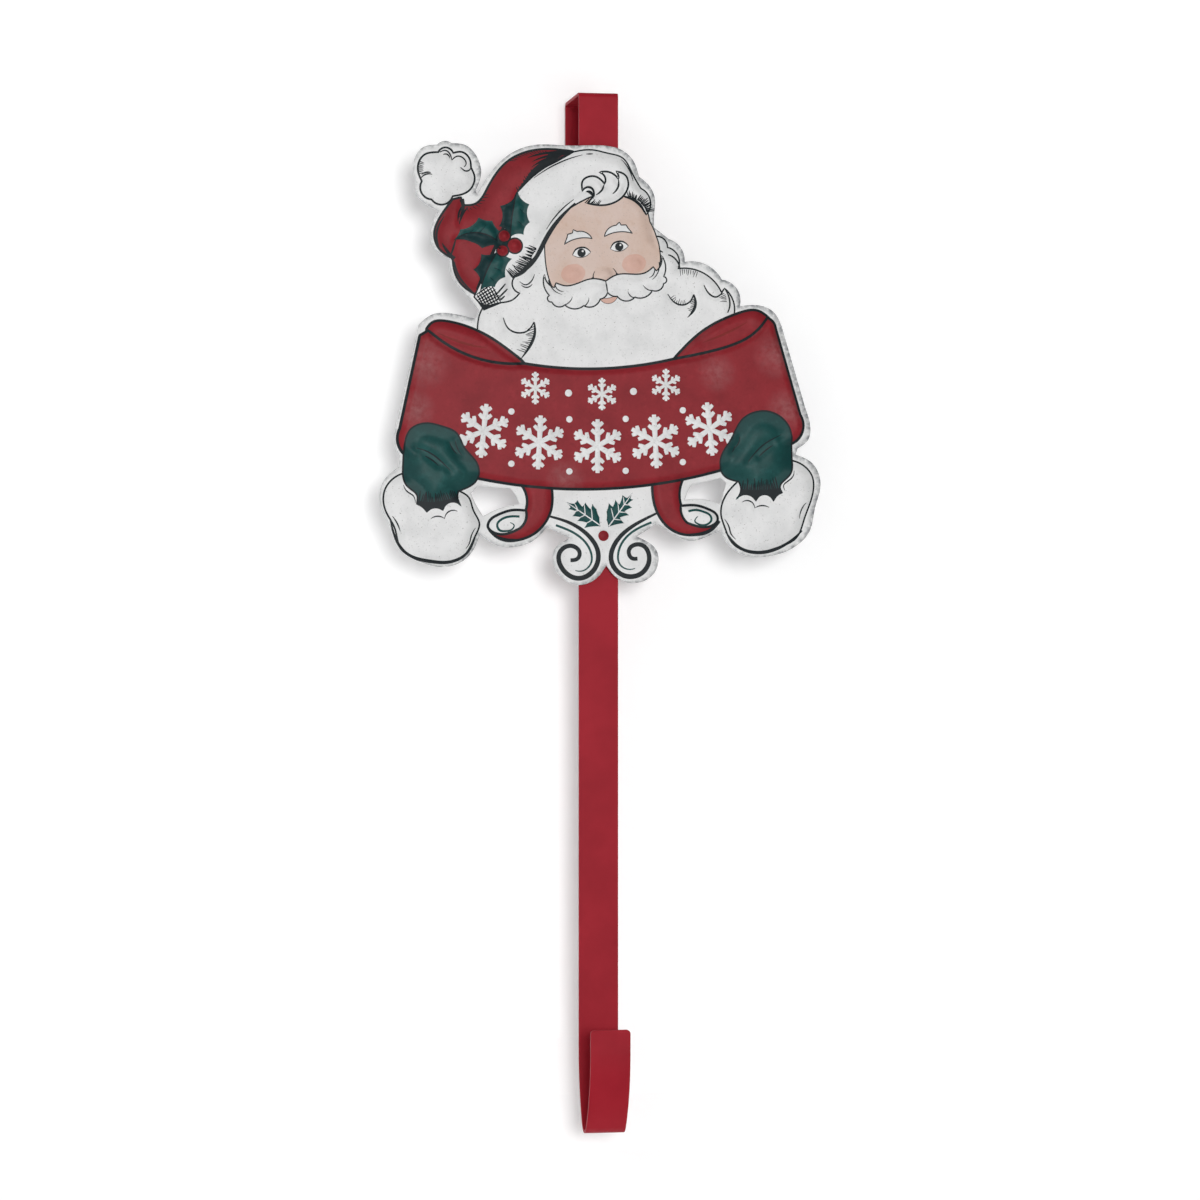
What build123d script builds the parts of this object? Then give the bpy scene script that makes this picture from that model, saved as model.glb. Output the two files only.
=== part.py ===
"""Over-the-door wreath hanger: a bent steel band that carries an embossed die-cut tin plaque.

Frame: millimetres, +Z up, the front looks towards -Y. The origin is the middle of the underside of
the top bar, where the hanger sits on the door. Points of the plaque's drawing are (across, up) from
the foot of the band's centre line, at the plaque's own lower edge.
"""

import os
from math import cos, radians, sin

from build123d import *

# Band, one strip of steel
band_width = 22.2
band_thickness = 1.8
door_gap = 45.0
seat_bend = 1.0
back_leg = 45.0
back_corner = 4.0
hanger_drop = 576.5

# Hook at the foot of the band, which takes the wreath
hook_mouth = 37.3
tongue_height = 59.4
tongue_corner = 2.2
back_flank_radius = 80.5
back_flank_turn = 30.0
front_flank_radius = 68.0
front_flank_turn = 38.0

# Plaque, one sheet of tinplate
sheet = 0.6
plaque_foot = -273.0
plaque_standoff = 4.0
plaque_rim = 1.0
shoulder = 0.8
fine_shoulder = 0.3
pocket_inset = 0.9
sharpest_miter = 0.25

# Height of each raised field of the plaque above its border
pompom_rise = 2.2
hat_rise = 1.6
fur_rise = 2.6
curl_rise = 3.5
beard_rise = 1.5
moustache_rise = 2.5
nose_rise = 3.0
leaf_rise = 3.4
berry_rise = 4.3
banner_rise = 2.8
lip_rise = 2.2
mitten_rise = 4.0
cuff_rise = 2.2
tail_rise = 1.2
ring_rise = 1.9
sprig_rise = 0.8

# Bridge clips between the plaque's back and the band
clip_width = 16.0
clip_sheet = 1.0
clip_crown = 12.0
clip_foot = 8.0
upper_clip_height = 136.0
lower_clip_height = 28.0

# Face, by plain proportions: the nose ball sits a fifth of the height below the eye line
face_middle = (0.0, 186.0)
face_height = 70.0
face_tilt = 10.0


def outline(start, *stretches):
    """Closed line of the drawing, as a list of point lists: two points are a straight stretch,
    three an arc and more a curve."""
    stretches = (*stretches, [start]) if stretches[-1][-1] != start else stretches
    starts = [start] + [through[-1] for through in stretches[:-1]]
    return [[here, *through] for here, through in zip(starts, stretches)]


def leaf(spikes, hollow=0.15):
    """Outline of a leaf whose edge is hollow between its spikes, given anticlockwise."""
    stretches = []
    for here, there in zip(spikes, spikes[1:] + spikes[:1]):
        run = (there[0] - here[0], there[1] - here[1])
        middle = ((here[0] + there[0]) / 2 - hollow * run[1], (here[1] + there[1]) / 2 + hollow * run[0])
        stretches.append([here, middle, there])
    return stretches


def oval(across, up, half_width, half_height):
    """Outline of a circle or an ellipse, in four arcs."""
    turns = [radians(45 * step) for step in range(9)]
    points = [(across + half_width * cos(turn), up + half_height * sin(turn)) for turn in turns]
    points[8] = points[0]
    return [points[quarter:quarter + 3] for quarter in (0, 2, 4, 6)]


def on_face(shape):
    """Outline drawn in heights of the face from its middle, set upright along the tilted head."""
    turn = radians(face_tilt)
    return [[(face_middle[0] + face_height * (x * cos(turn) - y * sin(turn)),
              face_middle[1] + face_height * (x * sin(turn) + y * cos(turn))) for x, y in points]
            for points in shape]


def edge(points):
    """Edge through two, three or more points."""
    if len(points) == 2:
        return Edge.make_line(*points)
    if len(points) == 3:
        return Edge.make_three_point_arc(*points)
    return Edge.make_spline([Vector(*point) for point in points])


def field(shape, inset=0.0):
    """Face inside an outline, with its edge drawn in by the inset."""
    edges = [edge(points) for points in shape]
    if inset == 0:
        return Face(Wire(edges))
    passed = [point for points in shape for point in points[:-1]]
    turns = sum(x0 * y1 - x1 * y0 for (x0, y0), (x1, y1) in zip(passed, passed[1:] + passed[:1]))
    side = Vector(0, 0, 1 if turns > 0 else -1)
    moved_starts = []
    for before, after in zip(edges[-1:] + edges[:-1], edges):
        normal_before = side.cross(before % 1)
        normal_after = side.cross(after % 0)
        spread = max(1 + normal_before.dot(normal_after), sharpest_miter)
        moved_starts.append(after @ 0 + (normal_before + normal_after) * (inset / spread))
    moved = []
    for number, (points, line) in enumerate(zip(shape, edges)):
        inner = [moved_starts[number]]
        for point in points[1:-1]:
            inner.append(Vector(*point) + side.cross(line.tangent_at(Vector(*point))) * inset)
        inner.append(moved_starts[(number + 1) % len(shape)])
        moved.append(edge(inner))
    return Face(Wire(moved))


plaque_edge = outline(
    (-70.2, 218.0),
    [(-67.0, 227.0), (-69.7, 237.5), (-75.6, 243.2), (-83.5, 244.2)],
    [(-87.3, 245.4), (-91.6, 243.2)],
    [(-99.5, 241.6), (-104.4, 234.5), (-104.9, 228.0), (-103.4, 222.4)],
    [(-103.2, 215.5), (-99.5, 211.4), (-90.9, 206.5)],
    [(-95.3, 194.5), (-92.3, 184.6), (-84.9, 180.2)],
    [(-83.0, 169.6), (-76.5, 161.6), (-68.4, 151.5)],
    [(-70.2, 147.0)],
    [(-80.2, 149.1), (-94.4, 148.9), (-101.8, 143.4)],
    [(-114.9, 84.5)],
    [(-115.2, 76.5), (-112.7, 70.5)],
    [(-112.7, 64.5)],
    [(-121.6, 56.2), (-123.2, 43.6), (-117.7, 31.0), (-113.2, 19.8), (-100.2, 11.4), (-86.0, 9.0),
     (-74.0, 14.9), (-67.5, 27.1)],
    [(-58.6, 21.2), (-47.0, 20.2), (-38.0, 23.4), (-29.8, 31.2)],
    [(-16.9, 25.2)],
    [(-25.6, 18.6), (-25.4, 8.8), (-12.7, -1.0), (-1.6, 3.0), (3.6, 10.0)],
    [(8.6, 3.8), (18.7, 0.0), (31.2, 6.2), (32.6, 17.6), (21.0, 26.2)],
    [(32.6, 33.4)],
    [(42.0, 27.4), (52.0, 23.8), (62.0, 26.6), (69.2, 29.6)],
    [(73.0, 22.4), (83.0, 15.8), (97.0, 15.3), (112.5, 21.2), (120.2, 29.7), (123.2, 42.4),
     (126.4, 55.7), (121.4, 68.0), (112.0, 72.6)],
    [(113.0, 75.9)],
    [(119.4, 81.2), (120.5, 88.0), (117.6, 99.0)],
    [(103.9, 145.0)],
    [(99.3, 152.8), (90.0, 156.6), (79.8, 155.8)],
    [(78.2, 165.6), (69.6, 170.6)],
    [(60.9, 178.8), (48.3, 180.3)],
    [(46.0, 188.2), (39.0, 193.0)],
    [(36.0, 195.4), (30.8, 199.2)],
    [(30.9, 207.2), (31.4, 214.4), (28.2, 222.4), (22.2, 227.6)],
    [(19.0, 236.4), (12.6, 242.2), (0.0, 244.7), (-18.0, 244.2), (-36.0, 244.3), (-49.0, 240.0),
     (-60.0, 230.4), (-69.2, 216.2)])

left_window = outline(
    (-72.6, 49.8),
    [(-68.6, 54.1)],
    [(-50.4, 52.6)],
    [(-47.4, 48.6), (-45.5, 44.0)],
    [(-56.8, 41.6), (-65.8, 37.2)],
    [(-69.7, 43.4), (-72.6, 49.8)])

right_window = outline(
    (52.6, 55.4),
    [(69.0, 59.2)],
    [(72.0, 56.4)],
    [(68.7, 44.6)],
    [(59.6, 47.2), (48.6, 46.9)],
    [(50.1, 51.4), (52.6, 55.4)])

pompom = outline(
    (-91.0, 239.0),
    [(-87.0, 241.7), (-82.7, 238.7)],
    [(-77.6, 239.3), (-73.6, 235.8), (-72.7, 230.7)],
    [(-70.7, 225.6), (-73.6, 218.2), (-83.0, 214.7)],
    [(-89.0, 209.9), (-94.8, 212.7)],
    [(-100.3, 216.1), (-100.2, 222.7)],
    [(-102.5, 230.0), (-99.1, 237.2), (-91.0, 239.0)])

hat = outline(
    (-83.0, 213.0),
    [(-89.8, 203.4), (-93.3, 193.3), (-90.4, 185.3), (-83.0, 180.2)],
    [(-81.9, 173.0), (-77.4, 165.2), (-70.0, 160.3)],
    [(-60.0, 162.0)],
    [(-48.0, 190.0), (-38.0, 214.0)],
    [(-30.0, 225.0), (-18.0, 235.0)],
    [(-15.3, 241.0)],
    [(-38.0, 241.1), (-51.3, 235.4), (-63.3, 220.0), (-70.6, 210.6), (-77.0, 209.8)],
    [(-78.6, 216.0)])

fur = outline(
    (-71.0, 159.0),
    [(-67.0, 168.0), (-57.5, 190.0), (-47.0, 217.3)],
    [(-39.0, 225.6), (-27.0, 234.3), (-17.0, 240.2)],
    [(-4.3, 242.0), (5.0, 240.2), (12.6, 238.0), (18.6, 228.8), (23.2, 221.0)],
    [(28.4, 215.0), (26.2, 206.3)],
    [(22.0, 212.2), (13.7, 216.2)],
    [(3.0, 217.4), (-8.0, 214.4)],
    [(-20.4, 206.5), (-34.7, 184.7), (-46.5, 171.6)],
    [(-49.8, 167.0), (-45.6, 161.3)],
    [(-49.8, 157.4), (-57.5, 155.6), (-65.4, 152.8)])

fur_curl = outline(
    (-10.3, 218.7),
    [(-10.2, 224.4), (-3.6, 227.0), (2.2, 223.0)],
    [(2.4, 226.6), (-0.7, 229.2)],
    [(5.4, 229.3), (10.0, 225.7)],
    [(9.9, 228.0), (8.7, 230.0)],
    [(14.2, 227.8), (15.4, 220.9), (9.4, 213.5), (0.3, 211.0), (-7.4, 212.0)],
    [(-3.6, 216.4)],
    [(-5.6, 220.6), (-10.3, 218.7)])

head = outline(
    (-54.0, 168.0),
    [(-62.0, 158.6), (-67.6, 150.0), (-69.2, 138.0)],
    [(-56.0, 124.0)],
    [(-30.0, 112.0)],
    [(30.0, 112.0)],
    [(56.0, 130.0)],
    [(75.6, 148.0)],
    [(75.9, 159.0), (71.0, 165.7)],
    [(69.3, 163.4)],
    [(60.6, 173.2), (44.4, 176.4)],
    [(43.8, 184.6), (38.4, 188.2)],
    [(36.4, 192.8), (30.4, 194.0)],
    [(28.6, 201.0), (25.4, 211.0)],
    [(16.0, 220.0)],
    [(-10.0, 220.0)],
    [(-28.0, 206.0), (-54.0, 168.0)])

banner = outline(
    (-101.4, 137.2),
    [(-96.7, 140.0)],
    [(-84.0, 130.9), (-43.3, 122.3)],
    [(0.0, 119.8), (41.7, 125.7)],
    [(70.0, 132.2), (88.0, 141.0), (95.4, 149.4)],
    [(98.6, 147.6), (100.3, 144.0)],
    [(114.6, 95.0)],
    [(116.0, 86.0), (109.7, 78.7)],
    [(90.0, 70.0), (68.3, 63.3)],
    [(0.0, 52.6), (-69.7, 58.3)],
    [(-92.0, 61.5), (-110.5, 71.7)],
    [(-113.6, 77.2), (-112.6, 85.5)])

left_lip = outline(
    (-38.0, 117.0),
    [(-70.0, 121.0), (-98.6, 133.0)],
    [(-97.6, 141.0)],
    [(-94.9, 144.2), (-84.7, 145.1), (-64.0, 137.7), (-44.6, 124.2)])

right_lip = outline(
    (43.4, 127.8),
    [(56.2, 140.1), (78.0, 151.6), (90.6, 153.3), (96.4, 149.6)],
    [(97.6, 142.0)],
    [(76.0, 130.0), (37.0, 120.0)])

left_mitten = outline(
    (-110.2, 76.0),
    [(-107.4, 84.4), (-98.7, 88.5), (-88.7, 86.7), (-81.3, 83.3), (-76.7, 75.0), (-70.0, 67.0),
     (-69.0, 58.3), (-79.7, 51.0)],
    [(-80.4, 46.8), (-78.6, 42.8)],
    [(-84.0, 43.6), (-88.7, 40.4)],
    [(-93.0, 41.2), (-97.7, 39.4)],
    [(-100.2, 42.2), (-103.3, 43.8)],
    [(-103.1, 48.4), (-108.7, 53.7), (-110.8, 64.0), (-110.2, 76.0)])

right_mitten = outline(
    (79.6, 48.9),
    [(80.7, 52.6), (79.0, 57.2)],
    [(70.6, 60.6), (68.0, 68.3), (74.3, 81.0), (80.3, 91.7), (96.0, 96.6), (107.0, 89.0),
     (109.7, 72.0), (107.6, 60.4), (102.4, 54.0), (103.7, 51.0)],
    [(100.7, 49.4), (98.7, 46.3)],
    [(94.0, 47.9), (89.3, 46.5)],
    [(85.4, 50.1), (79.6, 48.9)])

left_cuff = outline(
    (-106.0, 62.0),
    [(-113.6, 59.5), (-120.8, 51.6), (-120.4, 40.0), (-115.2, 30.0), (-112.2, 19.6), (-101.0, 13.4),
     (-88.0, 11.3), (-76.6, 15.4), (-70.3, 26.2), (-68.0, 33.0), (-71.4, 40.4), (-74.0, 47.6), (-79.0, 51.0)],
    [(-86.0, 58.0)])

right_cuff = outline(
    (105.0, 70.0),
    [(113.7, 68.0), (121.4, 60.6), (121.4, 49.0), (116.8, 36.0), (112.6, 26.0), (101.0, 20.0),
     (88.0, 17.3), (75.4, 22.8), (71.0, 31.8), (69.0, 38.6), (72.3, 50.3), (78.3, 57.0)],
    [(86.0, 64.0)])

left_tail = outline(
    (-47.7, 57.5),
    [(-41.6, 42.0), (-48.0, 33.0)],
    [(-62.6, 29.6)],
    [(-57.2, 24.9), (-49.3, 23.6), (-36.0, 28.4), (-27.6, 41.0), (-27.7, 56.5)])

left_ring = outline(
    (-41.9, 40.4),
    [(-55.0, 39.2), (-63.3, 31.4)],
    [(-54.8, 27.0), (-45.6, 30.4)],
    [(-42.2, 34.8), (-41.9, 40.4)])

right_tail = outline(
    (29.6, 58.5),
    [(31.2, 43.0), (40.8, 29.9), (53.0, 27.0), (63.6, 30.6), (67.6, 34.8)],
    [(51.0, 36.0)],
    [(45.6, 46.0), (49.4, 61.6)])

right_ring = outline(
    (45.9, 43.4),
    [(59.6, 43.3), (68.4, 36.4)],
    [(60.0, 31.4), (49.6, 33.8)],
    [(46.4, 38.4), (45.9, 43.4)])

holly = [
    leaf([(-46.6, 218.4), (-56.7, 209.7), (-57.3, 198.3), (-50.7, 192.4), (-43.5, 193.7),
          (-40.0, 200.7), (-40.3, 210.7)]),
    leaf([(-82.5, 190.3), (-72.6, 189.2), (-66.7, 185.9), (-56.0, 187.6), (-56.4, 195.2),
          (-61.0, 201.3), (-68.7, 203.0), (-72.0, 198.8), (-79.0, 196.2)], hollow=0.08),
    leaf([(-56.4, 185.8), (-67.3, 182.7), (-71.7, 174.0), (-67.3, 162.7), (-59.7, 164.3),
          (-53.7, 170.0), (-50.0, 180.3)])]

holly_berries = [
    oval(-54.3, 193.0, 3.5, 3.5), oval(-48.5, 187.5, 4.3, 4.3), oval(-55.2, 184.7, 3.3, 3.3)]

sprigs = [
    leaf([(-19.0, 45.3), (-18.0, 41.2), (-15.7, 37.3), (-13.0, 34.7), (-9.0, 30.7), (0.3, 31.7),
          (-1.2, 38.6), (-4.3, 44.3), (-8.3, 45.0), (-12.7, 46.3)]),
    leaf([(18.7, 51.0), (12.7, 49.3), (8.7, 46.7), (5.0, 44.8), (3.4, 38.4), (4.7, 31.3), (13.7, 33.5),
          (16.7, 38.0), (18.3, 42.3), (19.0, 46.7)])]

sprig_berry = oval(2.0, 26.5, 3.0, 3.0)

nose = on_face(oval(0.0, -0.2, 0.09, 0.075))

moustache = on_face(outline(
    (0.0, -0.25),
    [(-0.22, -0.2), (-0.44, -0.3)],
    [(-0.24, -0.42), (0.0, -0.36)],
    [(0.24, -0.42), (0.44, -0.3)],
    [(0.22, -0.2), (0.0, -0.25)]))


def at_height(shape, height, inset=0.0):
    """Face inside an outline, at a height above the back of the sheet."""
    return field(shape, inset).moved(Pos(0, 0, height))


def block(shape, bottom, top, inset=0.0):
    """Straight-sided solid inside an outline, between two heights."""
    return extrude(at_height(shape, bottom, inset), top - bottom, dir=(0, 0, 1))


def embossing(shape, top, slope):
    """Raised block up to a top height, with a slope round it."""
    sections = [at_height(shape, 0), at_height(shape, top - slope), at_height(shape, top, slope)]
    return loft(sections, ruled=True)


def plaque():
    """Embossed sheet with a turned-back rim, in the drawing's plane with its back at zero."""
    fields = [
        (head, beard_rise), (hat, hat_rise), (fur, fur_rise), (fur_curl, curl_rise),
        (moustache, moustache_rise), (nose, nose_rise), (pompom, pompom_rise),
        (left_lip, lip_rise), (right_lip, lip_rise), (banner, banner_rise),
        (left_tail, tail_rise), (right_tail, tail_rise),
        (left_ring, ring_rise), (right_ring, ring_rise), (left_cuff, cuff_rise),
        (right_cuff, cuff_rise), (left_mitten, mitten_rise), (right_mitten, mitten_rise)]
    fields += [(each, leaf_rise) for each in holly]
    fields += [(each, berry_rise) for each in holly_berries]
    raised = []
    pockets = []
    for shape, rise in fields:
        raised.append(embossing(shape, sheet + rise, shoulder))
        pockets.append(block(shape, -plaque_rim, rise, pocket_inset))
    for shape in (*sprigs, sprig_berry):
        raised.append(embossing(shape, sheet + sprig_rise, fine_shoulder))
    windows = [block(shape, -plaque_rim, sheet) for shape in (left_window, right_window)]
    body = block(plaque_edge, -plaque_rim, sheet).cut(block(plaque_edge, -plaque_rim, 0, sheet))
    return body.fuse(*raised).cut(*pockets).cut(*windows)


def band_edge_line(side):
    """One long edge of the band's section, side mm to the left of its centre line."""
    bend = seat_bend + band_thickness / 2
    steps = [
        (back_leg - seat_bend, None, None), (None, bend, 90),
        (door_gap - 2 * seat_bend, None, None), (None, bend, 90),
        (front_leg - seat_bend, None, None), (None, back_flank_radius, -back_flank_turn),
        (None, hook_radius, -hook_turn), (None, front_flank_radius, -front_flank_turn),
        (tongue_straight, None, None)]
    here = Vector((door_gap + band_thickness) / 2 - side, -back_leg)
    heading = Vector(0, 1)
    edges = []
    for length, radius, turn in steps:
        if length is not None:
            stretch = Line(here, here + heading * length)
        else:
            curve = radius - side if turn > 0 else radius + side
            stretch = JernArc(here, heading, curve, turn)
        edges.append(stretch)
        here = stretch @ 1
        heading = stretch % 1
    return edges


def band():
    """Bent steel band: back leg, door seat, front leg and the wreath hook."""
    inner = band_edge_line(band_thickness / 2)
    outer = band_edge_line(-band_thickness / 2)
    ends = [Line(inner[0] @ 0, outer[0] @ 0), Line(inner[-1] @ 1, outer[-1] @ 1)]
    section = Plane.YZ * make_face(inner + outer + ends)
    body = extrude(section, band_width / 2, both=True)
    tongue_ends = body.edges().filter_by(Axis.Y).group_by(Axis.Y)[0]
    body = fillet(tongue_ends, tongue_corner)
    leg_ends = body.edges().filter_by(Axis.Y).group_by(Axis.Y)[-1].group_by(Axis.Z)[0]
    return fillet(leg_ends, back_corner)


def clip(height, rise):
    """Bridge clip at a height of the drawing: a crown on the band and two feet in the plaque."""
    depth = plaque_standoff + rise
    half = clip_crown / 2
    foot = half + clip_sheet + clip_foot
    profile = make_face(Polyline(
        (-foot, 0), (-half, 0), (-half, depth - clip_sheet), (half, depth - clip_sheet),
        (half, 0), (foot, 0), (foot, clip_sheet), (half + clip_sheet, clip_sheet),
        (half + clip_sheet, depth), (-half - clip_sheet, depth), (-half - clip_sheet, clip_sheet),
        (-foot, clip_sheet), close=True))
    side = Plane(origin=(0, plaque_face - rise, plaque_foot + height), x_dir=(0, 0, 1),
                 z_dir=(-1, 0, 0))
    return extrude(side * profile, clip_width / 2, both=True)


band_front = -door_gap / 2 - band_thickness
plaque_face = band_front - plaque_standoff
drawing = Plane(origin=(0, plaque_face, plaque_foot), x_dir=(1, 0, 0), z_dir=(0, -1, 0))

hook_depth = hook_mouth + band_thickness
hook_turn = 180 - back_flank_turn - front_flank_turn
back_swing = back_flank_radius * (1 - cos(radians(back_flank_turn)))
front_swing = front_flank_radius * (1 - cos(radians(front_flank_turn)))
hook_radius = (hook_depth - back_swing - front_swing) / (
    cos(radians(back_flank_turn)) + cos(radians(front_flank_turn)))
hook_low = hook_radius * (1 - sin(radians(back_flank_turn))) + band_thickness / 2
back_flank_height = back_flank_radius * sin(radians(back_flank_turn)) + hook_low
front_flank_height = front_flank_radius * sin(radians(front_flank_turn)) + (
    hook_radius * (1 - sin(radians(front_flank_turn)))) + band_thickness / 2
front_leg = hanger_drop + band_thickness - back_flank_height
tongue_straight = tongue_height - front_flank_height

os.makedirs("parts", exist_ok=True)
export_step(band(), "parts/hanger_band.step")
export_step(drawing * plaque(), "parts/plaque.step")
export_step(clip(upper_clip_height, beard_rise), "parts/upper_clip.step")
export_step(clip(lower_clip_height, 0), "parts/lower_clip.step")
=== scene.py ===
"""Over-the-door wreath hanger: a painted steel band that carries a printed and embossed tin plaque.

Plaque points are (across, up) in millimetres, across from the band's centre line and up from the plaque's
lowest point, and heights are millimetres above the back of the sheet. The scene is in metres.
"""

from math import cos, pi, radians, sin

import bpy
import numpy as np
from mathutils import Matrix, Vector, kdtree
from mathutils.geometry import delaunay_2d_cdt


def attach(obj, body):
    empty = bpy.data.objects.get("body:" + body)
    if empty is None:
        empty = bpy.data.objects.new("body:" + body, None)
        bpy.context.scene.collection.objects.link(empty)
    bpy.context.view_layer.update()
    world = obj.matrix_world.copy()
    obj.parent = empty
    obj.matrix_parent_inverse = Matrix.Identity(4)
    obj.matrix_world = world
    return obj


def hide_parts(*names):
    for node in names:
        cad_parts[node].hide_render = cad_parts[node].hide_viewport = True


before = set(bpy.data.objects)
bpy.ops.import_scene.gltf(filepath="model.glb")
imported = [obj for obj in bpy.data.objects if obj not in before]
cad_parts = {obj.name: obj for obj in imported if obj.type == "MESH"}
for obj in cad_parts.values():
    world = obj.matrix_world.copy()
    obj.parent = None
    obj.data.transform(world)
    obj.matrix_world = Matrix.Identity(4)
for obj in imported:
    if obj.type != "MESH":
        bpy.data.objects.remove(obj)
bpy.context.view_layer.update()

MM = 0.001

# Sizes of the plaque, as in the CAD source: its lowest point, the plane of its back, the sheet, the rim that
# is turned back, and the figure's face
PLAQUE_FOOT = -273.0
PLAQUE_BACK = -28.3
SHEET = 0.6
RIM = 1.0
face_middle = (0.0, 186.0)
face_height = 70.0
face_tilt = 10.0

# Steps along edges, drawn lines and places on a line, and the grid between them: its step, the rise of its
# rows as a share of that, and how far it keeps off the lines. Thinner triangles than NO_AREA are left out
EDGE_STEP = 1.0
LINE_STEP = 0.9
FINE_STEP = 0.2
GRID_STEP = 1.35
ROW_RISE = 0.866
KEEP_OFF = 0.42
NO_AREA = 1e-7

# Relief: the power that flattens a shoulder, the width and depth of the rounded cut edge
DOME_POWER = 1.15
HEM = 0.6
EDGE_ROUNDING = 0.28

# Hatching: a stroke's widths along it, degrees of scatter and its share before the line
HATCH_TAPER = (1.0, 0.8, 0.3)
HATCH_SCATTER = 8
HATCH_LEAD = 0.15


def outline(start, *stretches):
    """Closed line of the drawing, as a list of point lists: two points are a straight stretch,
    three an arc and more a curve."""
    stretches = (*stretches, [start]) if stretches[-1][-1] != start else stretches
    starts = [start] + [through[-1] for through in stretches[:-1]]
    return [[here, *through] for here, through in zip(starts, stretches)]


def leaf(spikes, hollow=0.15):
    """Outline of a leaf whose edge is hollow between its spikes, given anticlockwise."""
    stretches = []
    for here, there in zip(spikes, spikes[1:] + spikes[:1]):
        run = (there[0] - here[0], there[1] - here[1])
        middle = ((here[0] + there[0]) / 2 - hollow * run[1], (here[1] + there[1]) / 2 + hollow * run[0])
        stretches.append([here, middle, there])
    return stretches


def oval(across, up, half_width, half_height):
    """Outline of a circle or an ellipse, in four arcs."""
    turns = [radians(45 * step) for step in range(9)]
    points = [(across + half_width * cos(turn), up + half_height * sin(turn)) for turn in turns]
    points[8] = points[0]
    return [points[quarter:quarter + 3] for quarter in (0, 2, 4, 6)]


def on_face(shape):
    """Outline drawn in heights of the face from its middle, set upright along the tilted head."""
    turn = radians(face_tilt)
    return [[(face_middle[0] + face_height * (x * cos(turn) - y * sin(turn)),
              face_middle[1] + face_height * (x * sin(turn) + y * cos(turn))) for x, y in points]
            for points in shape]


plaque_edge = outline(
    (-70.2, 218.0),
    [(-67.0, 227.0), (-69.7, 237.5), (-75.6, 243.2), (-83.5, 244.2)],
    [(-87.3, 245.4), (-91.6, 243.2)],
    [(-99.5, 241.6), (-104.4, 234.5), (-104.9, 228.0), (-103.4, 222.4)],
    [(-103.2, 215.5), (-99.5, 211.4), (-90.9, 206.5)],
    [(-95.3, 194.5), (-92.3, 184.6), (-84.9, 180.2)],
    [(-83.0, 169.6), (-76.5, 161.6), (-68.4, 151.5)],
    [(-70.2, 147.0)],
    [(-80.2, 149.1), (-94.4, 148.9), (-101.8, 143.4)],
    [(-114.9, 84.5)],
    [(-115.2, 76.5), (-112.7, 70.5)],
    [(-112.7, 64.5)],
    [(-121.6, 56.2), (-123.2, 43.6), (-117.7, 31.0), (-113.2, 19.8), (-100.2, 11.4), (-86.0, 9.0),
     (-74.0, 14.9), (-67.5, 27.1)],
    [(-58.6, 21.2), (-47.0, 20.2), (-38.0, 23.4), (-29.8, 31.2)],
    [(-16.9, 25.2)],
    [(-25.6, 18.6), (-25.4, 8.8), (-12.7, -1.0), (-1.6, 3.0), (3.6, 10.0)],
    [(8.6, 3.8), (18.7, 0.0), (31.2, 6.2), (32.6, 17.6), (21.0, 26.2)],
    [(32.6, 33.4)],
    [(42.0, 27.4), (52.0, 23.8), (62.0, 26.6), (69.2, 29.6)],
    [(73.0, 22.4), (83.0, 15.8), (97.0, 15.3), (112.5, 21.2), (120.2, 29.7), (123.2, 42.4),
     (126.4, 55.7), (121.4, 68.0), (112.0, 72.6)],
    [(113.0, 75.9)],
    [(119.4, 81.2), (120.5, 88.0), (117.6, 99.0)],
    [(103.9, 145.0)],
    [(99.3, 152.8), (90.0, 156.6), (79.8, 155.8)],
    [(78.2, 165.6), (69.6, 170.6)],
    [(60.9, 178.8), (48.3, 180.3)],
    [(46.0, 188.2), (39.0, 193.0)],
    [(36.0, 195.4), (30.8, 199.2)],
    [(30.9, 207.2), (31.4, 214.4), (28.2, 222.4), (22.2, 227.6)],
    [(19.0, 236.4), (12.6, 242.2), (0.0, 244.7), (-18.0, 244.2), (-36.0, 244.3), (-49.0, 240.0),
     (-60.0, 230.4), (-69.2, 216.2)])

left_window = outline(
    (-72.6, 49.8),
    [(-68.6, 54.1)],
    [(-50.4, 52.6)],
    [(-47.4, 48.6), (-45.5, 44.0)],
    [(-56.8, 41.6), (-65.8, 37.2)],
    [(-69.7, 43.4), (-72.6, 49.8)])

right_window = outline(
    (52.6, 55.4),
    [(69.0, 59.2)],
    [(72.0, 56.4)],
    [(68.7, 44.6)],
    [(59.6, 47.2), (48.6, 46.9)],
    [(50.1, 51.4), (52.6, 55.4)])

pompom = outline(
    (-91.0, 239.0),
    [(-87.0, 241.7), (-82.7, 238.7)],
    [(-77.6, 239.3), (-73.6, 235.8), (-72.7, 230.7)],
    [(-70.7, 225.6), (-73.6, 218.2), (-83.0, 214.7)],
    [(-89.0, 209.9), (-94.8, 212.7)],
    [(-100.3, 216.1), (-100.2, 222.7)],
    [(-102.5, 230.0), (-99.1, 237.2), (-91.0, 239.0)])

hat = outline(
    (-83.0, 213.0),
    [(-89.8, 203.4), (-93.3, 193.3), (-90.4, 185.3), (-83.0, 180.2)],
    [(-81.9, 173.0), (-77.4, 165.2), (-70.0, 160.3)],
    [(-60.0, 162.0)],
    [(-48.0, 190.0), (-38.0, 214.0)],
    [(-30.0, 225.0), (-18.0, 235.0)],
    [(-15.3, 241.0)],
    [(-38.0, 241.1), (-51.3, 235.4), (-63.3, 220.0), (-70.6, 210.6), (-77.0, 209.8)],
    [(-78.4, 214.2)])

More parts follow.
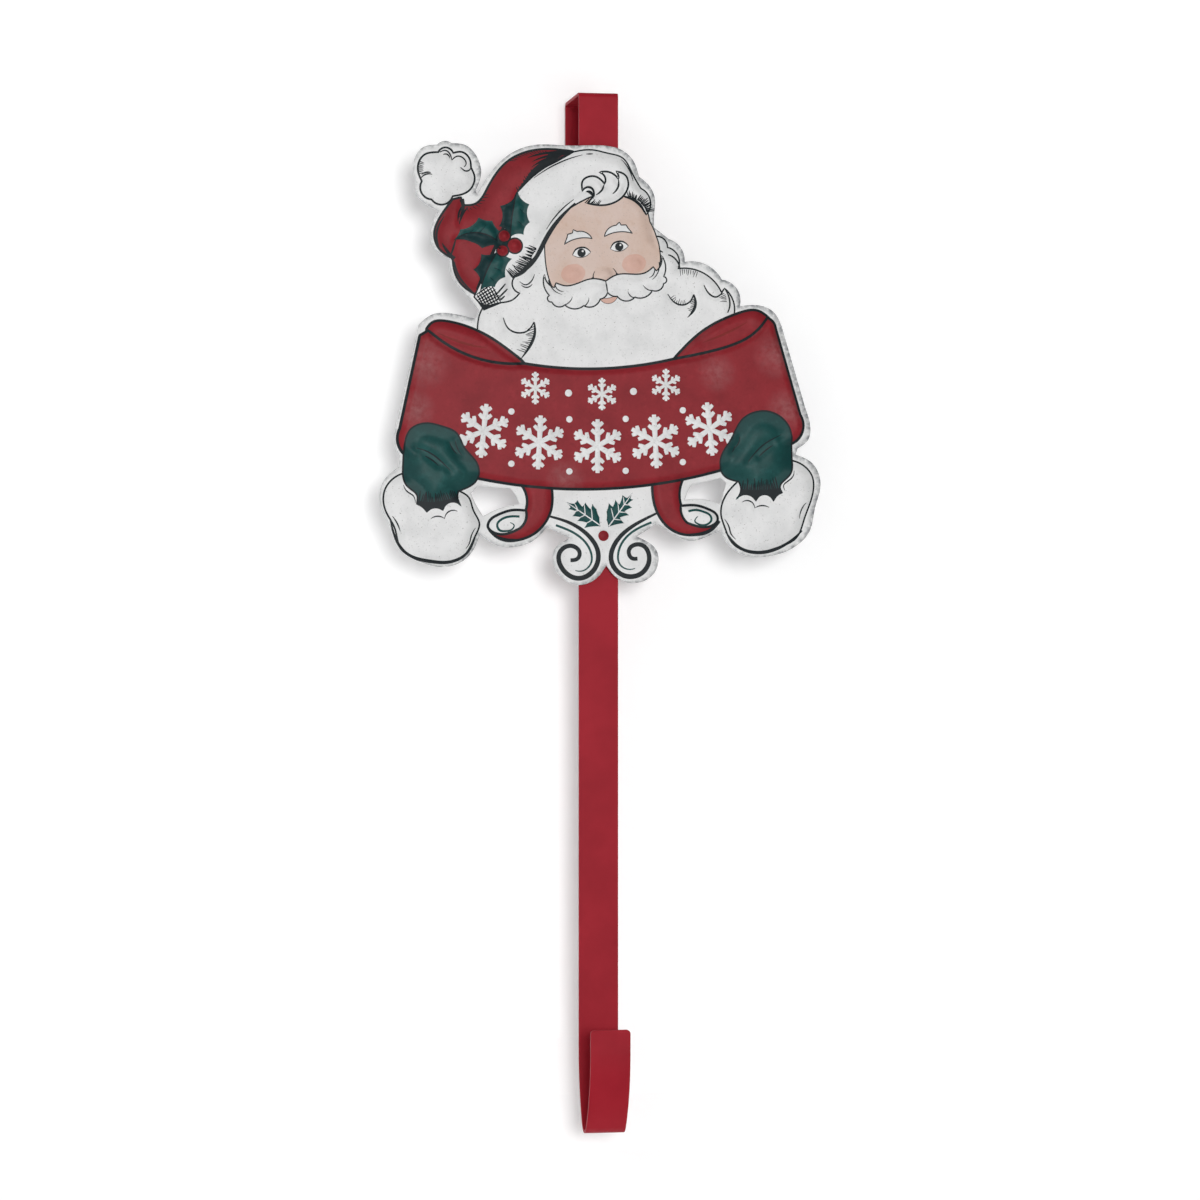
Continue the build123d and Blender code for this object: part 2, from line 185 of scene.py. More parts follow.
fur = outline(
    (-71.0, 159.0),
    [(-67.0, 168.0), (-57.5, 190.0), (-47.0, 217.3)],
    [(-39.0, 225.6), (-27.0, 234.3), (-17.0, 240.2)],
    [(-4.3, 242.0), (5.0, 240.2), (12.6, 238.0), (18.6, 228.8), (23.2, 221.0)],
    [(28.4, 215.0), (26.2, 206.3)],
    [(22.0, 212.2), (13.7, 216.2)],
    [(3.0, 217.4), (-8.0, 214.4)],
    [(-20.4, 206.5), (-34.7, 184.7), (-46.5, 171.6)],
    [(-49.8, 167.0), (-45.6, 161.3)],
    [(-49.8, 157.4), (-57.5, 155.6), (-65.4, 152.8)])

fur_curl = outline(
    (-10.3, 218.7),
    [(-10.2, 224.4), (-3.6, 227.0), (2.2, 223.0)],
    [(2.4, 226.6), (-0.7, 229.2)],
    [(5.4, 229.3), (10.0, 225.7)],
    [(9.9, 228.0), (8.7, 230.0)],
    [(14.2, 227.8), (15.4, 220.9), (9.4, 213.5), (0.3, 211.0), (-7.4, 212.0)],
    [(-3.6, 216.4)],
    [(-5.6, 220.6), (-10.3, 218.7)])

head = outline(
    (-54.0, 168.0),
    [(-62.0, 158.6), (-67.6, 150.0), (-69.2, 138.0)],
    [(-56.0, 124.0)],
    [(-30.0, 112.0)],
    [(30.0, 112.0)],
    [(56.0, 130.0)],
    [(75.6, 148.0)],
    [(75.9, 159.0), (71.0, 165.7)],
    [(69.3, 163.4)],
    [(60.6, 173.2), (44.4, 176.4)],
    [(43.8, 184.6), (38.4, 188.2)],
    [(36.4, 192.8), (30.4, 194.0)],
    [(28.6, 201.0), (25.4, 211.0)],
    [(16.0, 220.0)],
    [(-10.0, 220.0)],
    [(-28.0, 206.0), (-54.0, 168.0)])

banner = outline(
    (-101.4, 137.2),
    [(-96.7, 140.0)],
    [(-84.0, 130.9), (-43.3, 122.3)],
    [(0.0, 119.8), (41.7, 125.7)],
    [(70.0, 132.2), (88.0, 141.0), (95.4, 149.4)],
    [(98.6, 147.6), (100.3, 144.0)],
    [(114.6, 95.0)],
    [(116.0, 86.0), (109.7, 78.7)],
    [(90.0, 70.0), (68.3, 63.3)],
    [(0.0, 52.6), (-69.7, 58.3)],
    [(-92.0, 61.5), (-110.5, 71.7)],
    [(-113.6, 77.2), (-112.6, 85.5)])

left_lip = outline(
    (-38.0, 117.0),
    [(-70.0, 121.0), (-98.6, 133.0)],
    [(-97.6, 141.0)],
    [(-94.9, 144.2), (-84.7, 145.1), (-64.0, 137.7), (-44.6, 124.2)])

right_lip = outline(
    (43.4, 127.8),
    [(56.2, 140.1), (78.0, 151.6), (90.6, 153.3), (96.4, 149.6)],
    [(97.6, 142.0)],
    [(76.0, 130.0), (37.0, 120.0)])

left_mitten = outline(
    (-110.2, 76.0),
    [(-107.4, 84.4), (-98.7, 88.5), (-88.7, 86.7), (-81.3, 83.3), (-76.7, 75.0), (-70.0, 67.0),
     (-69.0, 58.3), (-79.7, 51.0)],
    [(-80.4, 46.8), (-78.6, 42.8)],
    [(-84.9, 44.8), (-88.7, 40.4)],
    [(-93.3, 41.8), (-97.7, 39.4)],
    [(-100.2, 42.2), (-103.3, 43.8)],
    [(-103.1, 48.4), (-108.7, 53.7), (-110.8, 64.0), (-110.2, 76.0)])

right_mitten = outline(
    (77.3, 47.2),
    [(79.9, 51.5), (79.0, 57.2)],
    [(70.6, 60.6), (68.0, 68.3), (74.3, 81.0), (80.3, 91.7), (96.0, 96.6), (107.0, 89.0),
     (109.7, 72.0), (107.6, 60.4), (102.4, 54.0), (103.7, 51.0)],
    [(100.7, 49.4), (98.7, 46.3)],
    [(93.4, 50.0), (88.6, 46.4)],
    [(83.0, 50.0), (77.3, 47.2)])

left_cuff = outline(
    (-106.0, 62.0),
    [(-113.6, 59.5), (-120.8, 51.6), (-120.4, 40.0), (-115.2, 30.0), (-112.2, 19.6), (-101.0, 13.4),
     (-88.0, 11.3), (-76.6, 15.4), (-70.3, 26.2), (-68.0, 33.0), (-71.4, 40.4), (-74.0, 47.6),
     (-79.0, 51.0)],
    [(-86.0, 58.0)])

right_cuff = outline(
    (105.0, 70.0),
    [(113.7, 68.0), (121.4, 60.6), (121.4, 49.0), (116.8, 36.0), (112.6, 26.0), (101.0, 20.0),
     (88.0, 17.3), (75.4, 22.8), (71.0, 31.8), (69.0, 38.6), (72.3, 50.3), (78.3, 57.0)],
    [(86.0, 64.0)])

left_tail = outline(
    (-47.7, 57.5),
    [(-41.6, 42.0), (-48.0, 33.0)],
    [(-62.6, 29.6)],
    [(-57.2, 24.9), (-49.3, 23.6), (-36.0, 28.4), (-27.6, 41.0), (-27.7, 56.5)])

left_ring = outline(
    (-41.9, 40.4),
    [(-49.6, 40.6), (-57.2, 38.2), (-62.2, 34.8), (-63.3, 31.4), (-60.6, 28.4), (-54.2, 27.2),
     (-45.6, 30.4)],
    [(-42.2, 34.8), (-41.9, 40.4)])

right_tail = outline(
    (29.6, 58.5),
    [(31.2, 43.0), (40.8, 29.9), (53.0, 27.0), (63.6, 30.6), (67.6, 34.8)],
    [(51.0, 36.0)],
    [(45.6, 46.0), (49.4, 61.6)])

right_ring = outline(
    (45.9, 43.4),
    [(55.4, 43.6), (62.2, 41.4), (66.6, 38.2), (67.0, 35.4), (64.2, 32.6), (57.4, 31.6),
     (49.6, 33.8)],
    [(46.4, 38.4), (45.9, 43.4)])

holly = [
    leaf([(-46.6, 218.4), (-56.7, 209.7), (-57.3, 198.3), (-50.7, 192.4), (-43.5, 193.7),
          (-40.0, 200.7), (-40.3, 210.7)]),
    leaf([(-82.5, 190.3), (-72.6, 189.2), (-66.7, 185.9), (-56.0, 187.6), (-56.4, 195.2),
          (-61.0, 201.3), (-68.7, 203.0), (-72.0, 198.8), (-79.0, 196.2)], hollow=0.08),
    leaf([(-56.4, 185.8), (-67.3, 182.7), (-71.7, 174.0), (-67.3, 162.7), (-59.7, 164.3),
          (-53.7, 170.0), (-50.0, 180.3)])]

holly_berries = [
    oval(-54.3, 193.0, 3.5, 3.5), oval(-48.5, 187.5, 4.3, 4.3), oval(-55.2, 184.7, 3.3, 3.3)]

sprigs = [
    leaf([(-19.0, 45.3), (-16.7, 42.3), (-18.0, 41.2), (-13.6, 40.0), (-15.7, 37.3), (-11.0, 36.7),
          (-13.0, 34.7), (-7.3, 33.7), (-9.0, 30.7), (0.3, 31.7), (-0.3, 36.7), (-2.0, 41.3),
          (-4.3, 44.3), (-5.3, 41.3), (-8.3, 45.0), (-10.0, 42.7), (-12.7, 46.3), (-14.7, 44.3)],
         hollow=0.05),
    leaf([(18.7, 51.0), (15.3, 47.7), (12.7, 49.3), (11.0, 44.0), (8.7, 46.7), (7.3, 42.7), (5.0, 44.8),
          (3.7, 40.0), (3.7, 35.3), (4.7, 31.3), (13.7, 33.5), (11.3, 36.7), (16.7, 38.0), (14.0, 40.3),
          (18.3, 42.3), (15.7, 44.3), (19.0, 46.7), (17.3, 47.3)],
         hollow=0.05)]

sprig_berry = oval(2.0, 26.5, 3.0, 3.0)

nose = on_face(oval(0.0, -0.2, 0.09, 0.075))

half_moustache = outline(
    (0.0, -0.25),
    [(0.1, -0.215), (0.22, -0.23), (0.33, -0.235), (0.4, -0.2)],
    [(0.42, -0.235)],
    [(0.46, -0.2), (0.48, -0.12)],
    [(0.5, -0.21), (0.47, -0.29)],
    [(0.49, -0.32), (0.46, -0.345)],
    [(0.42, -0.39), (0.36, -0.385)],
    [(0.28, -0.43), (0.21, -0.415)],
    [(0.12, -0.43), (0.07, -0.385)],
    [(0.03, -0.375), (0.0, -0.34)])[:-1]
moustache = on_face(half_moustache + [[(-x, y) for x, y in points[::-1]] for points in half_moustache[::-1]])


def arc_points(points, step):
    """Points along the arc through three points."""
    (ax, ay), (bx, by), (cx, cy) = points
    twice = 2 * (ax * (by - cy) + bx * (cy - ay) + cx * (ay - by))
    if abs(twice) < 1e-6:
        return straight_points([points[0], points[2]], step)
    sa, sb, sc = ax * ax + ay * ay, bx * bx + by * by, cx * cx + cy * cy
    middle = np.array([sa * (by - cy) + sb * (cy - ay) + sc * (ay - by),
                       sa * (cx - bx) + sb * (ax - cx) + sc * (bx - ax)]) / twice
    start, through, end = (np.arctan2(p[1] - middle[1], p[0] - middle[0]) for p in points)
    turn = (end - start) % (2 * pi)
    if (through - start) % (2 * pi) > turn:
        turn -= 2 * pi
    radius = np.hypot(ax - middle[0], ay - middle[1])
    count = max(2, int(np.ceil(abs(turn) * radius / step)))
    angles = start + turn * np.arange(count + 1) / count
    return middle + radius * np.column_stack([np.cos(angles), np.sin(angles)])


def straight_points(points, step):
    """Points along a straight stretch."""
    here, there = (np.array(p, float) for p in points)
    count = max(1, int(np.ceil(np.linalg.norm(there - here) / step)))
    return here + (there - here) * (np.arange(count + 1) / count)[:, None]


def curve_points(points, step):
    """Points along the smooth curve through four or more points."""
    through = np.array(points, float)
    gaps = np.linalg.norm(np.diff(through, axis=0), axis=1)
    knots = np.concatenate([[0], np.cumsum(gaps)])
    size = len(through)
    system = np.zeros((size, size))
    right = np.zeros((size, 2))
    system[0, 0] = system[-1, -1] = 1
    for row in range(1, size - 1):
        system[row, row - 1:row + 2] = gaps[row - 1], 2 * (gaps[row - 1] + gaps[row]), gaps[row]
        right[row] = 6 * ((through[row + 1] - through[row]) / gaps[row]
                          - (through[row] - through[row - 1]) / gaps[row - 1])
    bend = np.linalg.solve(system, right)
    count = max(3, int(np.ceil(knots[-1] / step)))
    along = knots[-1] * np.arange(count + 1) / count
    span = np.clip(np.searchsorted(knots, along, "right") - 1, 0, size - 2)
    gap = gaps[span][:, None]
    before = (knots[span + 1] - along)[:, None]
    after = (along - knots[span])[:, None]
    return (bend[span] * before ** 3 + bend[span + 1] * after ** 3) / (6 * gap) + (
        through[span] / gap - bend[span] * gap / 6) * before + (
        through[span + 1] / gap - bend[span + 1] * gap / 6) * after


def line_points(points, step=LINE_STEP):
    """Points along one stretch of a drawing."""
    if len(points) == 2:
        return straight_points(points, step)
    if len(points) == 3:
        return arc_points(points, step)
    return curve_points(points, step)


def ring(shape, step=LINE_STEP):
    """Closed polygon of an outline, anticlockwise."""
    points = np.concatenate([line_points(stretch, step)[:-1] for stretch in shape])
    after = np.roll(points, -1, axis=0)
    area = np.sum(points[:, 0] * after[:, 1] - after[:, 0] * points[:, 1])
    return points if area > 0 else points[::-1]


def side_of(points, closed):
    """Unit normals to the left of a line of points."""
    if closed:
        along = np.roll(points, -1, axis=0) - np.roll(points, 1, axis=0)
    else:
        along = np.gradient(points, axis=0)
    along /= np.maximum(np.linalg.norm(along, axis=1), 1e-9)[:, None]
    return np.column_stack([-along[:, 1], along[:, 0]])


def drawn_in(points, inset):
    """Ring moved towards its inside."""
    return points + side_of(points, True) * inset


def stroke(points, width, ends=0.35):
    """Pen stroke along a line: a polygon that is widest in the middle and narrows to its ends."""
    line = line_points(points)
    start, middle, end = width if isinstance(width, tuple) else (width * ends, width, width * ends)
    along = np.linspace(0, 1, len(line))[:, None]
    half = np.where(along < 0.5, start + (middle - start) * np.sin(pi * along),
                    end + (middle - end) * np.sin(pi * along)) / 2
    side = side_of(line, False) * half
    return np.concatenate([line + side, (line - side)[::-1]])


def inside(points, polygon):
    """Which points lie in a polygon."""
    found = np.zeros(len(points), bool)
    low, high = polygon.min(axis=0), polygon.max(axis=0)
    near = np.flatnonzero(np.all((points > low) & (points < high), axis=1))
    x, y = points[near, 0], points[near, 1]
    hit = np.zeros(len(near), bool)
    for (x0, y0), (x1, y1) in zip(polygon, np.roll(polygon, -1, axis=0)):
        if y0 != y1:
            hit ^= ((y0 > y) != (y1 > y)) & (x < (x1 - x0) * (y - y0) / (y1 - y0) + x0)
    found[near] = hit
    return found


def distance(points, line, closed=True):
    """Distance from each point to a line."""
    starts = line if closed else line[:-1]
    runs = (np.roll(line, -1, axis=0) if closed else line[1:]) - starts
    lengths = np.maximum(np.sum(runs * runs, axis=1), 1e-12)
    best = np.full(len(points), 1e9)
    for start, run, length in zip(starts, runs, lengths):
        away = points - start
        share = np.clip(away @ run / length, 0, 1)
        away = away - share[:, None] * run
        np.minimum(best, np.sum(away * away, axis=1), out=best)
    return np.sqrt(best)


# Print, from the bottom layer to the top one: (polygon, material). Relief in the same order, each with
# its kind: a field's ring, rise and width of shoulder, or a groove's line, depth and half width
layers = []
shaped = []


def paint(polygon, colour):
    """Flat colour or a pen stroke on what is below it."""
    layers.append((polygon, colour))


def field(shape, colour, rise, shoulder, line=0.0):
    """Raised field of one colour, with a printed line round it."""
    edge = ring(shape)
    shaped.append(("field", edge, rise, shoulder))
    if line:
        paint(drawn_in(edge, -line / 2), "ink")
        paint(drawn_in(edge, line / 2), colour)
    else:
        paint(edge, colour)


def pen(strokes, width, colour="ink", dent=0.0, reach=0.9):
    """Pen strokes, with a groove under each where the sheet is dented."""
    for points in strokes:
        paint(stroke(points, width), colour)
        if dent:
            shaped.append(("groove", line_points(points), dent, reach))


def hatching(line, count, length, lean, width, seed, spread=0.35):
    """Short pen strokes side by side along a line."""
    chance = np.random.default_rng(seed)
    path = line_points(line, FINE_STEP)
    side = side_of(path, False)
    for number in range(count):
        place = int((len(path) - 1) * (number + 0.5) / count)
        reach = length * (1 + spread * chance.uniform(-1, 1))
        turn = radians(lean + HATCH_SCATTER * chance.uniform(-1, 1))
        way = side[place]
        way = np.array([way[0] * cos(turn) - way[1] * sin(turn), way[0] * sin(turn) + way[1] * cos(turn)])
        start = path[place] - way * reach * HATCH_LEAD
        widths = tuple(width * part for part in HATCH_TAPER)
        paint(stroke([tuple(start), tuple(start + way * reach)], widths), "ink")


def between(first, second, count, width):
    """Pen strokes from one line to another, evenly spaced."""
    starts, ends = line_points(first, FINE_STEP), line_points(second, FINE_STEP)
    for number in range(count):
        share = (number + 0.5) / count
        start, end = starts[round(share * (len(starts) - 1))], ends[round(share * (len(ends) - 1))]
        paint(stroke([tuple(start), tuple(end)], width, ends=0.6), "ink")


# Scrolls at the foot, with a green line inside each
pen([[(-28.7, 37.3), (-18.0, 34.0), (-6.7, 26.7), (-1.0, 16.7), (-4.0, 6.7), (-12.0, 2.7), (-21.3, 8.0),
      (-22.7, 17.3), (-16.0, 20.8), (-11.5, 16.7), (-12.7, 13.7), (-16.7, 12.8)],
     [(33.3, 39.7), (22.0, 34.0), (9.3, 23.3), (6.3, 13.3), (12.0, 5.0), (22.7, 5.0), (28.0, 14.0),
      (24.0, 21.3), (17.3, 20.0), (16.3, 17.3), (18.3, 13.9), (21.3, 13.8)]], (1.2, 2.8, 2.2), dent=0.15)
pen([[(-25.0, 32.3), (-14.7, 28.0), (-6.0, 19.3), (-5.3, 10.7), (-10.7, 6.7), (-14.0, 7.0)],
     [(29.3, 34.1), (19.3, 29.3), (11.0, 19.3), (11.7, 10.0), (17.3, 7.7), (20.0, 8.3)]],
    (1.3, 1.3, 0.5), "green")

# Banner's tails, rolled back into rings
for tail, end in ((left_tail, left_ring), (right_tail, right_ring)):
    field(tail, "red", rise=1.2, shoulder=4.0, line=1.5)
    field(end, "white", rise=1.9, shoulder=4.0, line=1.5)
pen([[(-45.7, 37.0), (-51.3, 37.0), (-56.0, 35.3), (-58.3, 32.3), (-56.7, 29.3), (-53.3, 28.9),
      (-49.7, 30.0), (-48.7, 32.0), (-51.0, 33.7)],
     [(50.0, 40.3), (54.3, 41.1), (59.0, 40.0), (62.7, 37.7), (63.0, 35.0), (60.7, 33.0), (56.3, 33.0),
      (53.7, 35.0), (55.3, 37.5)]], (1.3, 1.3, 0.5), "green")
pen([[(-59.3, 26.3), (-54.7, 24.3), (-49.3, 23.7), (-45.3, 24.0)],
     [(68.3, 34.9), (64.0, 30.5), (57.0, 27.6), (50.0, 27.2)]], (1.2, 2.2, 1.2))

# Leaf sprigs and a berry between the scrolls
for shape in sprigs:
    field(shape, "green", rise=0.8, shoulder=1.6)
field(sprig_berry, "red", rise=0.8, shoulder=2.0)
pen([[(0.0, 32.3), (-18.0, 44.5)], [(4.9, 31.8), (18.0, 49.8)]], (0.7, 0.6, 0.3), "white", 0.3, 0.6)
pen([[(-4.5, 35.4), (-5.0, 42.0)], [(-8.5, 38.0), (-9.0, 44.0)], [(-12.5, 40.6), (-14.5, 44.6)],
     [(-4.5, 35.4), (-9.5, 32.4)], [(-8.5, 38.0), (-13.0, 36.0)], [(-12.5, 40.6), (-16.8, 39.2)],
     [(7.7, 35.8), (6.2, 42.0)], [(10.6, 39.9), (10.0, 45.2)], [(13.6, 44.0), (13.2, 48.2)],
     [(7.7, 35.8), (13.2, 35.2)], [(10.6, 39.9), (15.6, 39.4)], [(13.6, 44.0), (17.6, 43.6)]],
    (0.5, 0.5, 0.2), "white")

# Fur cuffs
for cuff in (left_cuff, right_cuff):
    field(cuff, "white", rise=2.2, shoulder=7.0, line=1.0)
pen([[(-117.7, 35.0), (-114.6, 24.3), (-108.7, 16.3), (-95.3, 12.0), (-84.7, 11.7), (-74.7, 17.0),
      (-70.0, 27.0)],
     [(71.6, 29.0), (79.7, 20.0), (90.3, 17.3), (107.7, 23.0), (115.7, 29.7)]], (0.8, 2.0, 0.8))
pen([[(-110.7, 54.3), (-109.0, 51.0), (-105.0, 48.0), (-104.0, 44.5)],
     [(-116.7, 37.0), (-114.0, 33.0), (-112.3, 28.5)],
     [(-95.5, 35.5), (-92.0, 37.0), (-87.7, 35.7)], [(-87.7, 35.7), (-84.6, 40.0), (-80.5, 39.8)],
     [(-70.3, 30.7), (-72.7, 26.0), (-73.7, 22.0), (-75.7, 19.0)],
     [(110.7, 63.5), (110.3, 61.0), (107.0, 57.5), (104.5, 55.0), (105.3, 52.3)],
     [(118.0, 45.5), (115.0, 41.5), (114.0, 36.5)],
     [(80.7, 45.5), (84.0, 46.5), (88.0, 42.3)], [(88.0, 42.3), (92.0, 43.7), (96.3, 42.7)],
     [(71.0, 36.0), (73.5, 31.5), (74.5, 28.0), (77.3, 24.7)]], 0.8, dent=0.25)

# Hat with its soft folds
field(hat, "red", rise=1.6, shoulder=11.0, line=1.3)
pen([[(-77.0, 210.0), (-79.7, 204.7), (-80.0, 200.7)], [(-74.4, 208.6), (-77.6, 204.4), (-79.4, 199.0)],
     [(-84.3, 181.0), (-82.7, 186.0), (-81.3, 191.3)],
     [(-90.6, 186.4), (-92.0, 192.4), (-90.6, 198.6), (-87.6, 203.6)],
     [(-82.0, 178.4), (-80.4, 172.4), (-76.6, 166.4), (-71.4, 161.6)]], (0.5, 1.2, 0.3), dent=0.5, reach=1.6)
pen([[(-78.0, 213.0), (-77.2, 207.6), (-79.6, 202.8)]], (2.8, 1.8, 0.2))
pen([[(-89.0, 188.6), (-86.0, 184.0), (-82.2, 179.8)]], (0.3, 1.8, 2.8))
hatching([(-78.0, 208.8), (-73.0, 208.4), (-68.0, 211.4), (-64.0, 216.6)],
         count=9, length=2.6, lean=215, width=0.5, seed=3)
hatching([(-51.0, 234.6), (-46.0, 238.0), (-38.0, 240.2), (-30.0, 240.6)],
         count=14, length=2.4, lean=230, width=0.55, seed=4)
hatching([(-46.6, 217.6), (-43.3, 221.3), (-38.3, 227.7), (-33.0, 231.6)],
         count=18, length=2.8, lean=-25, width=0.8, seed=5)
pen([[(-24.0, 237.4), (-34.0, 232.6), (-42.0, 225.0)]], (3.6, 2.4, 0.3))
pen([[(-23.0, 238.4), (-32.0, 235.6), (-39.0, 231.4)], [(-22.0, 239.0), (-31.0, 237.6), (-38.6, 234.6)],
     [(-22.0, 240.0), (-32.0, 239.4), (-41.0, 236.8)]], (2.6, 1.3, 0.2))
paint(ring([[(-31.0, 235.0), (-24.0, 237.6), (-15.0, 240.6)], [(-15.0, 240.6), (-22.0, 241.2)],
            [(-22.0, 241.2), (-29.0, 240.4)], [(-29.0, 240.4), (-31.0, 235.0)]]), "ink")

# Beard and hair, with locks
field(head, "white", rise=1.5, shoulder=6.0, line=0.9)
pen([[(-54.8, 147.6), (-51.9, 141.6), (-46.0, 139.2), (-41.2, 140.4), (-37.4, 145.4)],
     [(38.3, 162.0), (42.0, 157.5), (47.0, 156.0), (51.5, 158.5), (53.2, 162.0)],
     [(59.0, 167.4), (61.5, 163.0), (65.7, 160.7), (69.8, 163.2)],
     [(45.6, 176.0), (43.0, 181.6), (38.6, 184.0)], [(30.6, 193.6), (31.6, 188.6), (35.6, 185.4)],
     [(71.6, 164.6), (74.0, 158.0), (72.6, 152.0)]],
    (0.5, 1.0, 0.7), dent=0.35, reach=1.3)
pen([[(-37.4, 145.4), (-36.9, 140.6), (-39.3, 132.8), (-45.1, 124.4)],
     [(53.2, 162.0), (54.2, 157.0), (52.7, 152.5), (49.6, 149.0)]], (0.8, 1.7, 0.3), dent=0.35, reach=1.3)
hatching([(-37.6, 143.4), (-37.5, 139.0), (-40.0, 132.6), (-43.4, 128.0)],
         count=13, length=-4.6, lean=20, width=0.6, seed=6)
hatching([(52.6, 160.6), (53.4, 156.6), (51.6, 152.0)],
         count=9, length=-3.0, lean=15, width=0.55, seed=8)
hatching([(40.0, 160.4), (43.0, 157.4), (49.0, 157.0)],
         count=8, length=2.6, lean=0, width=0.5, seed=7)
hatching([(45.0, 175.4), (49.0, 175.6), (56.0, 174.0)],
         count=9, length=-3.2, lean=0, width=0.5, seed=17)
hatching([(69.6, 163.8), (71.2, 161.0), (71.4, 157.6)],
         count=7, length=3.2, lean=180, width=0.5, seed=18)

# Face of plain proportions: the eyes lie halfway down and one eye's width apart
face = on_face(outline(
    (0.44, 0.16),
    [(0.41, 0.33), (0.2, 0.46), (-0.1, 0.46), (-0.34, 0.36), (-0.44, 0.1), (-0.45, -0.16), (-0.4, -0.34)],
    [(0.0, -0.3), (0.4, -0.34)],
    [(0.47, -0.14), (0.44, 0.16)]))
paint(drawn_in(ring(face), -0.35), "ink")
paint(drawn_in(ring(face), 0.35), "skin")
for mirror in (-1, 1):
    field(on_face(oval(0.25 * mirror, -0.15, 0.1, 0.075)), "blush", rise=2.1, shoulder=5.0)
    eye = 0.155 * mirror
    lid = [(eye + across, up) for across, up in
           ((-0.075, -0.004), (-0.04, 0.036), (0.0, 0.045), (0.04, 0.036), (0.075, -0.004))]
    under = [(eye + across, up) for across, up in
             ((0.075, -0.004), (0.04, -0.026), (0.0, -0.034), (-0.04, -0.026), (-0.075, -0.004))]
    paint(ring(on_face([lid, under]), 0.5), "white")
    paint(ring(on_face(oval(eye, 0.003, 0.034, 0.034)), 0.4), "ink")
    paint(ring(on_face(oval(eye + 0.012, 0.014, 0.008, 0.008)), 0.25), "white")
    pen(on_face([lid]), (0.4, 1.0, 0.4))
    pen(on_face([under]), (0.2, 0.45, 0.2))
    brow = on_face(outline(
        (0.05 * mirror, 0.1), [(0.09 * mirror, 0.155), (0.16 * mirror, 0.175)],
        [(0.19 * mirror, 0.195)], [(0.2 * mirror, 0.17)], [(0.24 * mirror, 0.165)], [(0.25 * mirror, 0.14)],
        [(0.28 * mirror, 0.09)], [(0.16 * mirror, 0.12), (0.05 * mirror, 0.1)]))
    field(brow, "white", rise=2.2, shoulder=3.0, line=0.6)
    pen(on_face([[(0.045 * mirror, -0.24), (0.03 * mirror, -0.262)]]), (0.8, 1.2, 0.5))
    pen(on_face([[(0.095 * mirror, -0.2), (0.112 * mirror, -0.24), (0.09 * mirror, -0.262)]]),
        (0.3, 0.7, 0.2))
lower_lip = on_face(outline(
    (-0.075, -0.37), [(0.0, -0.43), (0.075, -0.37)], [(0.0, -0.39), (-0.075, -0.37)]))
paint(drawn_in(ring(lower_lip), -0.3), "ink")
paint(ring(lower_lip), "blush")
field(nose, "skin", rise=3.0, shoulder=4.5)
pen(on_face([[(-0.075, -0.16), (-0.095, -0.2), (-0.075, -0.245), (-0.03, -0.262)],
             [(0.075, -0.16), (0.095, -0.2), (0.075, -0.245), (0.03, -0.262)]]), (0.3, 0.7, 0.3))
field(moustache, "white", rise=2.5, shoulder=5.0, line=0.8)
pen(on_face([[(0.0, -0.252), (0.0, -0.342)]]), (0.4, 0.8, 0.4), dent=0.5, reach=1.6)
strands = [[(0.455, -0.17), (0.43, -0.25), (0.37, -0.3)], [(0.41, -0.215), (0.39, -0.26), (0.35, -0.28)],
           [(0.36, -0.385), (0.31, -0.36), (0.29, -0.33)], [(0.21, -0.42), (0.17, -0.39), (0.16, -0.36)]]
pen(on_face([[(across * side, up) for across, up in points] for points in strands for side in (-1, 1)]),
    (0.7, 0.6, 0.2), dent=0.25, reach=1.2)

# Fur band of the hat, its curl and its shadows
field(fur, "white", rise=2.6, shoulder=7.0, line=0.9)
pen([[(-14.3, 212.0), (-22.3, 204.0), (-30.3, 192.7), (-37.7, 179.3), (-41.3, 175.3), (-48.7, 170.7)]],
    (0.8, 2.6, 1.0))
pen([[(26.0, 206.3), (22.3, 212.0), (18.3, 214.7), (13.7, 216.0)]], (0.6, 1.8, 0.8))
pen([[(-69.7, 163.3), (-66.0, 172.0), (-58.0, 190.0), (-47.0, 217.3)],
     [(-47.0, 217.3), (-38.3, 227.7), (-27.0, 234.3), (-15.3, 240.7)]], (0.8, 1.8, 1.2))
pen([[(-37.5, 225.5), (-25.0, 233.5), (-10.0, 239.0)], [(12.0, 237.0), (15.5, 233.0), (18.7, 225.0)],
     [(-30.5, 197.0), (-24.0, 206.0), (-15.0, 214.0)], [(-8.0, 239.5), (-4.0, 239.7)],
     [(-45.6, 167.8), (-42.2, 166.0), (-38.6, 168.6), (-37.2, 172.0)],
     [(-44.6, 165.9), (-41.5, 164.6), (-38.4, 166.6)]],
    0.8, dent=0.25)
hatching([(-50.0, 170.0), (-45.4, 173.4), (-41.0, 179.0), (-36.6, 187.0)],
         count=24, length=5.4, lean=12, width=0.85, seed=9)
pen([[(-49.0, 170.0), (-43.6, 173.6), (-38.4, 180.6)]], (0.6, 2.6, 1.4))
hatching([(27.0, 208.0), (24.6, 212.0), (21.0, 215.0)],
         count=12, length=4.2, lean=170, width=0.9, seed=10)
hatching([(20.6, 214.6), (18.0, 216.0), (15.6, 216.4)],
         count=7, length=3.0, lean=200, width=0.8, seed=19)
between([(-69.6, 159.4), (-66.6, 163.6), (-61.0, 166.0)],
        [(-66.0, 153.0), (-61.0, 154.4), (-55.6, 156.6)], count=7, width=0.8)
between([(-70.0, 161.0), (-68.6, 156.4), (-66.0, 152.8)],
        [(-62.4, 166.4), (-59.0, 162.6), (-55.6, 157.6)], count=6, width=0.8)
pen([[(-60.0, 159.0), (-53.6, 166.4)], [(-58.6, 157.4), (-52.4, 163.6)], [(-57.0, 156.8), (-54.0, 159.6)]],
    (0.4, 1.0, 0.6))
